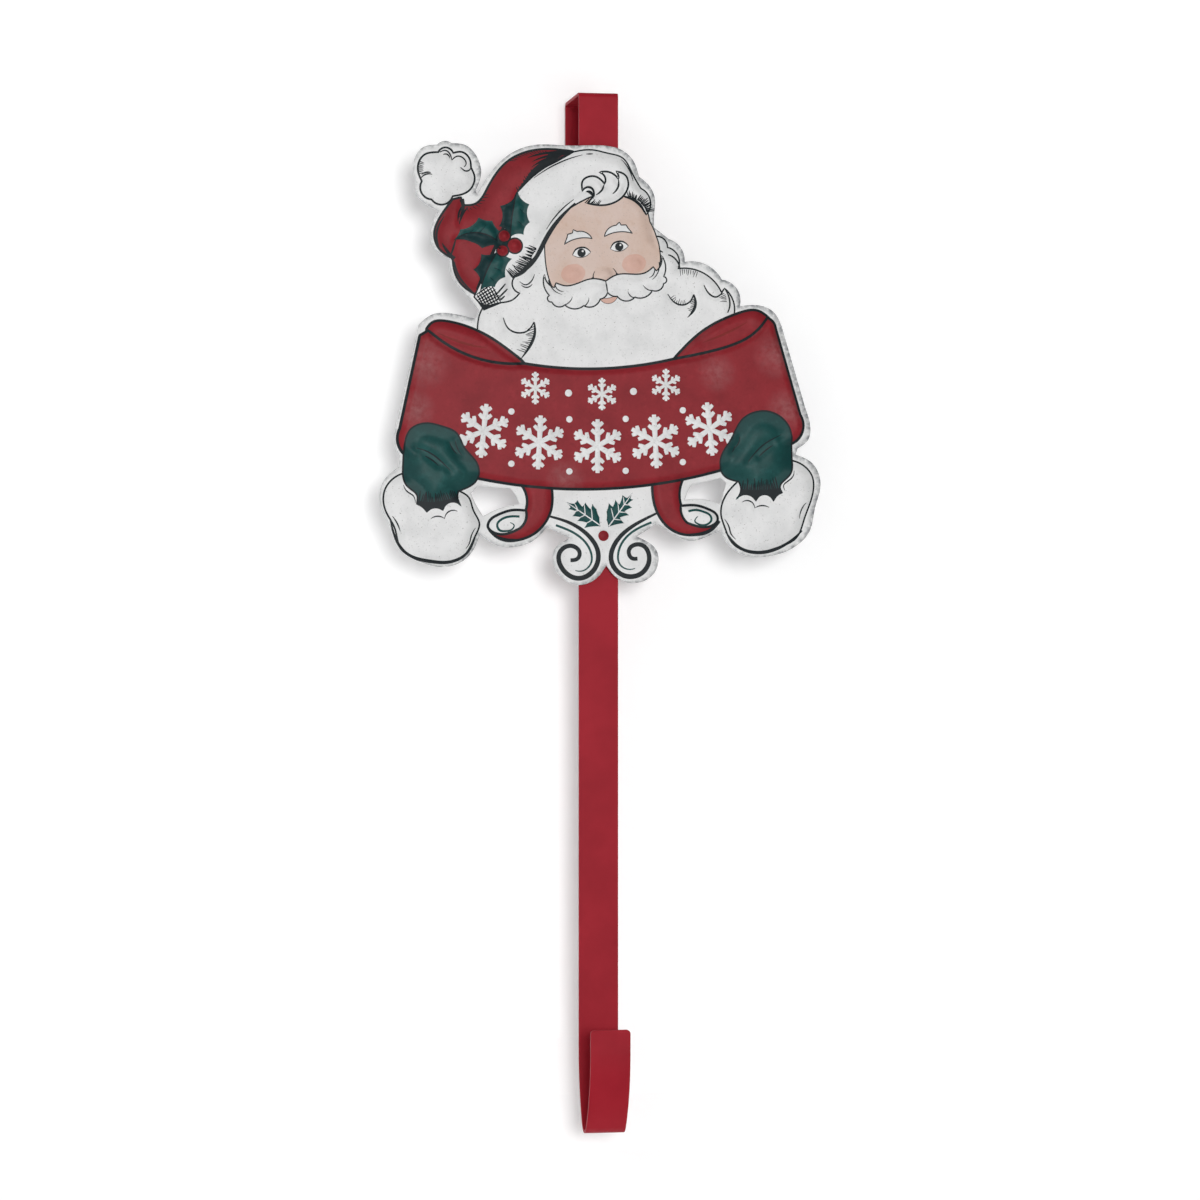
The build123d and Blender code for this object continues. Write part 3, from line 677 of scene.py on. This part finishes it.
paint(ring([[(-70.4, 158.0), (-66.6, 155.4), (-60.4, 154.8)], [(-60.4, 154.8), (-54.6, 156.0)],
            [(-54.6, 156.0), (-65.6, 151.4)], [(-65.6, 151.4), (-70.4, 158.0)]]), "ink")
field(fur_curl, "white", rise=3.5, shoulder=4.5, line=1.1)
pen([[(-10.3, 218.7), (-6.4, 221.0), (-3.3, 217.3)], [(-6.8, 218.8), (-4.4, 217.2)],
     [(2.0, 222.7), (0.6, 219.4), (-2.4, 216.8)], [(10.0, 225.7), (9.6, 221.0), (6.6, 217.4)]],
    (0.5, 1.1, 0.5), dent=0.3)
paint(ring([[(-8.6, 218.3), (-5.8, 219.1), (-3.7, 217.0)], [(-3.7, 217.0), (-3.9, 214.0)],
            [(-3.9, 214.0), (-5.4, 216.8), (-8.6, 218.3)]]), "ink")
hatching([(-8.8, 212.6), (-5.0, 211.6), (-0.6, 211.4)],
         count=9, length=3.0, lean=-30, width=0.7, seed=13)

# Pompom
field(pompom, "white", rise=2.2, shoulder=8.0, line=1.1)
pen([[(-72.7, 230.7), (-73.7, 229.3), (-75.7, 228.7), (-78.8, 230.7)],
     [(-83.6, 234.6), (-80.4, 236.9), (-76.8, 235.6), (-75.6, 232.4), (-76.8, 230.9)],
     [(-90.2, 239.0), (-87.0, 240.0), (-84.4, 237.8), (-83.6, 234.6)],
     [(-88.4, 237.6), (-86.2, 237.8), (-84.6, 235.6)],
     [(-100.6, 224.6), (-97.6, 226.6), (-94.6, 226.4)], [(-100.4, 226.4), (-97.6, 227.6), (-95.4, 227.4)]],
    (0.5, 0.9, 0.4), dent=0.3)
hatching([(-101.4, 226.6), (-101.7, 230.4), (-100.6, 234.0)],
         count=8, length=-2.4, lean=0, width=0.6, seed=14)

# Holly with its berries. One half of each leaf, and the hollow under the berries, is painted shade in a
# darker copy of the green
holly_ribs = [[(-50.7, 192.4), (-49.6, 207.0), (-46.6, 218.4)],
              [(-56.0, 187.6), (-69.0, 194.4), (-82.5, 190.3)],
              [(-67.3, 162.7), (-64.0, 174.0), (-56.4, 185.8)]]
for shape, rib in zip(holly, holly_ribs):
    field(shape, "green", rise=3.4, shoulder=4.5)
    paint(ring([*shape[:3], rib]), "green_shade")
    pen([rib], (0.5, 0.8, 0.2), dent=0.4, reach=1.5)
pen([[(-51.6, 210.0), (-54.0, 207.6)], [(-51.4, 203.0), (-54.6, 200.0)], [(-45.6, 208.0), (-42.8, 205.4)],
     [(-46.6, 201.0), (-43.4, 198.4)], [(-75.0, 193.6), (-71.0, 196.4)], [(-68.0, 194.6), (-64.6, 198.8)],
     [(-66.4, 179.6), (-69.4, 174.6)], [(-60.0, 175.0), (-56.0, 173.6)], [(-62.4, 169.6), (-59.6, 167.6)]],
    (0.6, 0.4, 0.1), "green_shade", 0.3, 1.0)
# Painted shade under the berries, in the darker green
paint(ring(oval(-54.8, 189.2, 4.4, 6.8)), "green_shade")
for berry in holly_berries:
    field(berry, "red", rise=4.3, shoulder=3.6, line=0.8)
paint(ring(oval(-56.9, 186.2, 0.6, 0.6), 0.4), "ink")

# Banner with its rolled lips
for lip in (left_lip, right_lip):
    field(lip, "red", rise=2.2, shoulder=6.0, line=1.5)
pen([[(-92.0, 139.0), (-80.0, 134.0), (-64.0, 130.6)], [(84.0, 147.0), (72.0, 140.6), (58.0, 135.0)]],
    (0.2, 1.4, 0.2), "shade", 0.4, 2.6)
field(banner, "red", rise=2.8, shoulder=3.6, line=1.6)


# Ornament of the banner. A snowflake's widths, its barbs' places and their lengths are shares of its reach
ORNAMENT_RISE = 3.35
ARM_WIDTH = 0.2
BARB_WIDTH = 0.16
BARBS = ((0.42, 0.3), (0.72, 0.26))
BARB_LEAN = 50
BIG_REACH = 15.0
BIG_FAN = 6
SMALL_REACH = 9.0
DOT_OFF_ROW = 14.5


def raised(shape, shoulder):
    """White shape embossed on the banner."""
    shaped.append(("field", shape, ORNAMENT_RISE, shoulder))
    paint(shape, "white")


def spoke(start, length, way, width):
    """Raised stroke from a point in a direction."""
    end = (start[0] + length * cos(way), start[1] + length * sin(way))
    raised(stroke([start, end], width, ends=0.75), shoulder=0.9)


def snowflake(across, up, reach, turn):
    """Six-armed snowflake with two pairs of barbs on each arm."""
    for arm in range(6):
        way = radians(turn + 60 * arm)
        spoke((across, up), reach, way, reach * ARM_WIDTH)
        for share, length in BARBS:
            root = (across + reach * share * cos(way), up + reach * share * sin(way))
            for lean in (-BARB_LEAN, BARB_LEAN):
                spoke(root, reach * length, way + radians(lean), reach * BARB_WIDTH)


def dot(across, up, radius):
    """Raised white dot."""
    raised(ring(oval(across, up, radius, radius), 0.8), shoulder=1.2)


# A row of big snowflakes, fanned out a little, with dots between them, and a row of small ones above
big_row = arc_points([(-66.0, 84.5), (0.0, 76.5), (62.0, 86.5)], 1.0)
for number in range(9):
    place = big_row[round((len(big_row) - 1) * number / 8)]
    if number % 2 == 0:
        snowflake(place[0], place[1], BIG_REACH, 90 - BIG_FAN * (4 - number) / 4)
    else:
        dot(place[0], place[1] + DOT_OFF_ROW, 1.8)
        dot(place[0], place[1] - DOT_OFF_ROW, 1.8)
small_row = arc_points([(-37.0, 108.5), (0.0, 105.5), (37.0, 111.0)], 1.0)
for number in range(5):
    place = small_row[round((len(small_row) - 1) * number / 4)]
    if number % 2 == 0:
        snowflake(place[0], place[1], SMALL_REACH, 90)
    else:
        dot(place[0], place[1], 2.0)

# Mittens that hold the banner
for mitten in (left_mitten, right_mitten):
    field(mitten, "green", rise=4.0, shoulder=13.0, line=1.0)
pen([[(-103.3, 74.7), (-98.0, 73.0), (-92.0, 69.3), (-84.7, 62.3)],
     [(-98.7, 70.3), (-94.7, 68.0), (-91.3, 65.0)],
     [(84.0, 68.3), (87.7, 73.0), (93.0, 78.0), (103.3, 83.7)], [(90.3, 71.3), (94.3, 75.0), (98.3, 77.7)]],
    (0.3, 0.8, 0.2), dent=0.9, reach=2.2)
pen([[(-82.0, 79.3), (-80.7, 75.0), (-78.0, 70.7)], [(-85.0, 78.0), (-83.0, 74.0), (-81.0, 71.6)],
     [(76.3, 76.0), (78.7, 79.0), (79.3, 82.3)], [(74.6, 73.6), (76.0, 75.4), (76.4, 77.0)]],
    (0.2, 0.6, 0.2), dent=0.5, reach=1.5)
for mitten, wrist, seed in ((left_mitten, [(-102.4, 45.0), (-91.0, 44.6), (-80.4, 48.0)], 15),
                            (right_mitten, [(80.4, 52.4), (91.0, 51.8), (101.8, 53.0)], 16)):
    hatching(wrist, count=20, length=6.5, lean=0, width=1.0, seed=seed)
    fluffy_edge = [line_points(stretch, 1.0) for stretch in mitten[2:5]]
    paint(np.concatenate([*fluffy_edge, line_points(wrist, 1.0) + (0, 0.6)]), "ink")


def heights(points):
    """Relief of the sheet at points of the drawing, and how far each lies up its field's shoulder."""
    relief = np.zeros(len(points))
    share = np.ones(len(points))
    for kind, line, amount, width in shaped:
        low, high = line.min(axis=0) - 3 * width, line.max(axis=0) + 3 * width
        near = np.flatnonzero(np.all((points > low) & (points < high), axis=1))
        if kind == "field":
            near = near[inside(points[near], line)]
            if len(near):
                up = np.clip(distance(points[near], line) / width, 0, 1)
                relief[near] = np.maximum(relief[near], amount * np.sin(up * pi / 2) ** DOME_POWER)
                share[near] = up
        elif len(near):
            away = distance(points[near], line, closed=False)
            relief[near] -= amount * np.exp(-(away / width) ** 2)
    return np.maximum(relief, 0), share


def triangulate(chains, spots):
    """Triangles of the drawing's plane that keep to closed chains of points."""
    points, edges = [], []
    for chain in chains:
        first = len(points)
        points.extend(Vector(p) for p in chain)
        edges.extend((first + k, first + (k + 1) % len(chain)) for k in range(len(chain)))
    points.extend(Vector(p) for p in spots)
    found, _, faces, _, _, _ = delaunay_2d_cdt(points, edges, [], 0, 1e-5, False)
    return np.array([tuple(p) for p in found]), np.array([face for face in faces if len(face) == 3])


def spots_between(chains):
    """Staggered grid of points over the plaque that stays off the chains."""
    low, high = edge_ring.min(axis=0), edge_ring.max(axis=0)
    rows = np.arange(low[1], high[1], GRID_STEP * ROW_RISE)
    grid = np.array([(x, y) for number, y in enumerate(rows)
                     for x in np.arange(low[0] + GRID_STEP * 0.5 * (number % 2), high[0], GRID_STEP)])
    grid = grid[inside(grid, edge_ring)]
    known = np.concatenate(chains)
    tree = kdtree.KDTree(len(known))
    for number, point in enumerate(known):
        tree.insert((*point, 0), number)
    tree.balance()
    return np.array([point for point in grid if tree.find((*point, 0))[2] > KEEP_OFF])


def on_sheet(points, faces):
    """The triangles that lie on the sheet, anticlockwise."""
    middles = points[faces].mean(axis=1)
    kept = inside(middles, edge_ring)
    for window in window_rings:
        kept &= ~inside(middles, window)
    faces, middles = faces[kept], middles[kept]
    a, b, c = (points[faces[:, k]] for k in range(3))
    area = (b[:, 0] - a[:, 0]) * (c[:, 1] - a[:, 1]) - (b[:, 1] - a[:, 1]) * (c[:, 0] - a[:, 0])
    faces[area < 0] = faces[area < 0][:, ::-1]
    solid = np.abs(area) > NO_AREA
    return faces[solid], middles[solid]


def placed(points, up):
    """Scene place of points of the drawing at heights above the sheet's back."""
    return np.column_stack([points[:, 0], PLAQUE_BACK - up, PLAQUE_FOOT + points[:, 1]]) * MM


edge_ring = ring(plaque_edge, EDGE_STEP)
window_rings = [ring(left_window, EDGE_STEP), ring(right_window, EDGE_STEP)]

# Front of the sheet
front_chains = [edge_ring, drawn_in(edge_ring, HEM), *window_rings, *(polygon for polygon, _ in layers)]
front_points, front_faces = triangulate(front_chains, spots_between(front_chains))
front_faces, middles = on_sheet(front_points, front_faces)
COLOURS = ["white", "red", "green", "green_shade", "skin", "blush", "shade", "ink", "edge", "back"]
colour_of = np.zeros(len(front_faces), int)
for polygon, colour in layers:
    colour_of[inside(middles, polygon)] = COLOURS.index(colour)
front_up, share = heights(front_points)
rim_away = distance(front_points, edge_ring)
hole_away = np.minimum(*(distance(front_points, window) for window in window_rings))
rounding = EDGE_ROUNDING * np.clip(1 - np.minimum(rim_away, hole_away) / HEM, 0, 1) ** 2
front_place = placed(front_points, SHEET + front_up - rounding)

# Print lies a little to the left of the die cut, which bares a worn strip along the right and the top
PRINT_SHIFT = (-1.0, -0.3)
WORN_WIDTH = 2.4
shifted = edge_ring + PRINT_SHIFT
strip = distance(front_points, shifted) * np.where(inside(front_points, shifted), 1, -1)
wear = np.clip(1 - strip / WORN_WIDTH, 0, 1)

# Round patches of the banner where the red is rubbed thin: (across, up, reach)
RUBBED_PATCHES = ((-99.0, 122.0, 16.0), (-104.0, 96.0, 12.0), (100.0, 128.0, 14.0), (106.0, 98.0, 13.0),
                  (-20.0, 58.0, 12.0), (66.0, 118.0, 12.0))
rub = np.zeros(len(front_points))
for across, up, reach in RUBBED_PATCHES:
    away = np.hypot(front_points[:, 0] - across, front_points[:, 1] - up)
    rub = np.maximum(rub, np.clip(1 - away / reach, 0, 1))

# Back of the sheet, with the rim turned back round its edge, and the cut edge between front and back
back_place = placed(front_points, np.where(rim_away < HEM / 2, -RIM, front_up))
count = len(front_place)
sides = {(face[k], face[(k + 1) % 3]) for face in front_faces.tolist() for k in range(3)}
walls = [(b, a, a + count, b + count) for a, b in sides if (b, a) not in sides]
sheet_mesh = bpy.data.meshes.new("plaque_print")
sheet_mesh.from_pydata(np.concatenate([front_place, back_place]).tolist(), [],
                       front_faces.tolist() + walls + (front_faces[:, ::-1] + count).tolist())
plaque_piece = bpy.data.objects.new("plaque_print", sheet_mesh)
bpy.context.collection.objects.link(plaque_piece)
slots = np.concatenate([colour_of, np.full(len(walls), COLOURS.index("edge")),
                        np.full(len(front_faces), COLOURS.index("back"))])
sheet_mesh.polygons.foreach_set("material_index", slots)
sheet_mesh.polygons.foreach_set("use_smooth", np.concatenate([
    np.ones(len(front_faces), bool), np.zeros(len(walls), bool), np.ones(len(front_faces), bool)]))
for name, front_values in (("wear", wear), ("shoulder", share), ("rub", rub)):
    values = sheet_mesh.attributes.new(name, "FLOAT", "POINT")
    values.data.foreach_set("value", np.concatenate([front_values, np.zeros(count)]))


def linear(hex_colour):
    """Linear colour from an sRGB hex value."""
    parts = [int(hex_colour[k:k + 2], 16) / 255 for k in (0, 2, 4)]
    return [*(p / 12.92 if p <= 0.04045 else ((p + 0.055) / 1.055) ** 2.4 for p in parts), 1.0]


def add(tree, kind, links=None, **settings):
    """Shader node of a kind, with its settings, its socket values and its links."""
    node = tree.nodes.new("ShaderNode" + kind)
    for name, value in settings.items():
        setattr(node, name, value)
    for socket, value in (links or {}).items():
        if isinstance(value, bpy.types.NodeSocket):
            tree.links.new(value, node.inputs[socket])
        else:
            node.inputs[socket].default_value = value
    return node


def finish(name, **values):
    """New material with one Principled shader, and its tree, shader and Object coordinates."""
    material = bpy.data.materials.new(name)
    material.use_nodes = True
    tree = material.node_tree
    tree.nodes.clear()
    shader = add(tree, "BsdfPrincipled")
    for socket, value in values.items():
        shader.inputs[socket.replace("_", " ")].default_value = value
    add(tree, "OutputMaterial", {"Surface": shader.outputs["BSDF"]})
    place = add(tree, "TexCoord").outputs["Object"]
    return material, tree, shader, place


def blotches(tree, place, size_mm, low, high, detail=4.0):
    """Noise with patches of a size, spread from 0 at its low end to 1 at its high end."""
    noise = add(tree, "TexNoise", {"Vector": place, "Scale": 1 / (size_mm * MM), "Detail": detail,
                                   "Roughness": 0.6})
    spread = add(tree, "MapRange", {"Value": noise.outputs["Fac"], "From Min": low, "From Max": high})
    return spread.outputs["Result"]


def mixed(tree, share, below, above):
    """Mix of two colours by a share."""
    return add(tree, "Mix", {0: share, 6: below, 7: above}, data_type="RGBA").outputs[2]


def times(tree, first, second):
    """Product of two values."""
    return add(tree, "Math", {0: first, 1: second}, operation="MULTIPLY").outputs[0]


def grain(tree, shader, place, size_mm, height_mm):
    """Bump from a fine grain."""
    noise = add(tree, "TexNoise", {"Vector": place, "Scale": 1 / (size_mm * MM), "Detail": 2.0})
    bump = add(tree, "Bump", {"Height": noise.outputs["Fac"], "Distance": height_mm * MM, "Strength": 1.0})
    tree.links.new(bump.outputs["Normal"], shader.inputs["Normal"])


def attribute(tree, name):
    """Value of one of the plaque's attributes."""
    return add(tree, "Attribute", attribute_name=name).outputs["Fac"]


# Colours of wear: ink rubbed thin, pinholes through it and bared tin gone dull
RUBBED_INK = "A87F7F"
PINHOLE = "6E6C68"
BARED_TIN = "7D8082"


def litho(name, plain, dark, light, shoulder_shade=0.0, specks=0.0, worn=0.0, rubbed=0.0, sheen=0.1):
    """Lithographed tinplate: matt ink with soft blotches, pinhole specks, rubbed patches, a worn edge and
    painted shade down the shoulders of raised fields.
    """
    material, tree, shader, place = finish("lithographed_tinplate_" + name, Roughness=0.45, IOR=1.5,
                                           Specular_IOR_Level=sheen)
    colour = mixed(tree, times(tree, blotches(tree, place, 16, 0.45, 0.7), 0.5), linear(plain), linear(dark))
    colour = mixed(tree, times(tree, blotches(tree, place, 4, 0.5, 0.75, 6.0), 0.4), colour, linear(light))
    colour = mixed(tree, times(tree, blotches(tree, place, 2.4, 0.55, 0.75, 6.0), 0.4), colour, linear(dark))
    # Painted shade: each field gets darker down its relief shoulder towards its edge; on the red and green
    # this also copies the print's darker rims
    if shoulder_shade:
        shoulder_shade_share = add(tree, "MapRange", {"Value": attribute(tree, "shoulder"), "From Min": 0.0,
                                           "From Max": 0.7, "To Min": shoulder_shade, "To Max": 0.0})
        colour = mixed(tree, shoulder_shade_share.outputs["Result"], colour, linear(dark))
    if rubbed:
        thin = times(tree, attribute(tree, "rub"), blotches(tree, place, 3.0, 0.2, 0.8, 8.0))
        colour = mixed(tree, times(tree, thin, rubbed), colour, linear(RUBBED_INK))
    if specks:
        pinholes = times(tree, blotches(tree, place, 0.9, 0.66, 0.71, 2.0), specks)
        colour = mixed(tree, pinholes, colour, linear(PINHOLE))
    if worn:
        patchy = times(tree, attribute(tree, "wear"), blotches(tree, place, 2.6, 0.35, 0.6, 6.0))
        colour = mixed(tree, times(tree, patchy, worn), colour, linear(BARED_TIN))
    tree.links.new(colour, shader.inputs["Base Color"])
    grain(tree, shader, place, 1.1, 0.03)
    return material


# Printed tinplate: a sheet printed flat with matt litho inks under a thin satin varnish, then embossed
print_colours = {
    "white": litho("white", "DBDBDB", "BBBCBC", "E4E4E4", 0.25, specks=0.6, worn=1.0),
    "red": litho("red", "83232A", "64161C", "9A2F36", 0.45, rubbed=0.45),
    "green": litho("green", "164442", "0F2E2F", "295E5D", 0.45, sheen=0.15),
    # Painted shade: a darker copy of the green for the shaded leaf halves, the leaf veins and under the
    # berries
    "green_shade": litho("painted_green_shade", "152F31", "0E2224", "1E4041", 0.3),
    "skin": litho("flesh", "C9B5AB", "BD9D88", "D2C2BA", 0.15, specks=0.4),
    "blush": litho("blush", "C8A497", "BC9281", "CEB0A4"),
    "shade": litho("shaded_red", "74201F", "5A1517", "85292D"),
    "ink": litho("black_line", "1F2427", "191D1F", "282D30"),
}

# Bare tinplate at the cut edge and on the back: bright rolled tin gone dull, with faint rolling marks
edge_metal, tree, shader, place = finish("tinplate_cut_edge", Metallic=1.0, Roughness=0.45)
shader.inputs["Base Color"].default_value = linear("C4C6C8")
grain(tree, shader, place, 0.8, 0.03)
back_metal, tree, shader, place = finish("tinplate_bare_back", Metallic=1.0)
patches = blotches(tree, place, 18, 0.35, 0.7)
tree.links.new(mixed(tree, patches, linear("BCBEC0"), linear("A6A8AB")), shader.inputs["Base Color"])
dull = add(tree, "MapRange", {"Value": patches, "To Min": 0.32, "To Max": 0.5})
tree.links.new(dull.outputs["Result"], shader.inputs["Roughness"])
grain(tree, shader, place, 1.6, 0.04)
print_colours["edge"], print_colours["back"] = edge_metal, back_metal
for colour in COLOURS:
    sheet_mesh.materials.append(print_colours[colour])
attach(plaque_piece, "root")
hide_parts("plaque")

# Powder-coated strip steel: even satin red with a faint orange peel about 1.5 mm across
powder, tree, shader, place = finish("powder_coated_steel_red", Roughness=0.5, IOR=1.5,
                                     Specular_IOR_Level=0.1)
tint = mixed(tree, blotches(tree, place, 30, 0.35, 0.7), linear("981C29"), linear("8A1623"))
tree.links.new(tint, shader.inputs["Base Color"])
grain(tree, shader, place, 1.5, 0.025)
for name in ("hanger_band", "upper_clip", "lower_clip"):
    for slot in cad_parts[name].material_slots:
        slot.material = powder

# Pale backdrop that comes forward as a floor
BACKDROP_Y = 0.0275
BACKDROP_TOP = 0.9
BACKDROP_SIDE = 2.5
FLOOR_Z = -0.75
FLOOR_FRONT = -3.2
SWEEP = 0.25
profile = [(BACKDROP_Y, BACKDROP_TOP)] + [
    (BACKDROP_Y - SWEEP + SWEEP * cos(turn), FLOOR_Z + SWEEP - SWEEP * sin(turn))
    for turn in np.linspace(0, pi / 2, 13)] + [(FLOOR_FRONT, FLOOR_Z)]
sweep_mesh = bpy.data.meshes.new("backdrop")
sweep_mesh.from_pydata([(x, y, z) for y, z in profile for x in (-BACKDROP_SIDE, BACKDROP_SIDE)], [],
                       [(2 * k, 2 * k + 2, 2 * k + 3, 2 * k + 1) for k in range(len(profile) - 1)])
backdrop = bpy.data.objects.new("backdrop", sweep_mesh)
bpy.context.collection.objects.link(backdrop)

# White paper that glows faintly to the camera and isn't seen from behind
PAPER_GLOW = 0.17
paper = bpy.data.materials.new("white_paper")
paper.use_nodes = True
tree = paper.node_tree
tree.nodes.clear()
rays = add(tree, "LightPath").outputs
matt = add(tree, "BsdfDiffuse", {"Color": linear("F4F4F4")})
seen = add(tree, "Math", {0: rays["Is Camera Ray"], 1: rays["Is Glossy Ray"]}, operation="MAXIMUM")
glow = add(tree, "Emission", {"Strength": times(tree, seen.outputs[0], PAPER_GLOW)})
lit = add(tree, "AddShader", {0: matt.outputs[0], 1: glow.outputs[0]})
clear = add(tree, "BsdfTransparent")
behind = add(tree, "NewGeometry").outputs["Backfacing"]
sheet_of_paper = add(tree, "MixShader", {0: behind, 1: lit.outputs[0], 2: clear.outputs[0]})
add(tree, "OutputMaterial", {"Surface": sheet_of_paper.outputs[0]})
sweep_mesh.materials.append(paper)

# Soft studio light: an even surround that is brighter at the upper left, and one large lamp in front
BRIGHT_SIDE = (-0.86, -0.33, 0.39)
LAMP_PLACE = (-0.1, -4.0, 0.03)
LAMP_AIM = Vector((0, 0, -0.28))
world = bpy.data.worlds.new("studio")
bpy.context.scene.world = world
world.use_nodes = True
tree = world.node_tree
tree.nodes.clear()
toward = add(tree, "TexCoord").outputs["Generated"]
facing = add(tree, "VectorMath", {0: toward, 1: BRIGHT_SIDE}, operation="DOT_PRODUCT")
soft_box = add(tree, "MapRange", {"Value": facing.outputs["Value"], "From Min": 0.3, "From Max": 1.0,
                                  "To Min": 0.04, "To Max": 1.1})
seen = add(tree, "LightPath").outputs["Is Camera Ray"]
strength = add(tree, "Math", {0: soft_box.outputs["Result"], 1: seen}, operation="MAXIMUM")
surround = add(tree, "Background", {"Color": (1, 1, 1, 1), "Strength": strength.outputs[0]})
add(tree, "OutputWorld", {"Surface": surround.outputs[0]})
lamp_data = bpy.data.lights.new("key", "AREA")
lamp_data.shape = "DISK"
lamp_data.size = 1.0
lamp_data.energy = 86
lamp = bpy.data.objects.new("key", lamp_data)
lamp.location = LAMP_PLACE
lamp.rotation_euler = (LAMP_AIM - lamp.location).to_track_quat("-Z", "Y").to_euler()
bpy.context.collection.objects.link(lamp)

# Camera: a long lens, level with the middle of the hanger and a little to its left
AZIMUTH = radians(-9.8)
DISTANCE = 2.1
VIEW_WIDTH = 0.672
SENSOR = 36
TARGET = Vector((0.0008, -0.0243, -0.2824))
camera_data = bpy.data.cameras.new("camera")
camera_data.sensor_width = SENSOR
camera_data.lens = SENSOR * DISTANCE / VIEW_WIDTH
camera = bpy.data.objects.new("camera", camera_data)
camera.location = TARGET + DISTANCE * Vector((sin(AZIMUTH), -cos(AZIMUTH), 0))
camera.rotation_euler = (pi / 2, 0, AZIMUTH)
bpy.context.collection.objects.link(camera)
bpy.context.scene.camera = camera
bpy.context.scene.view_settings.view_transform = "Standard"
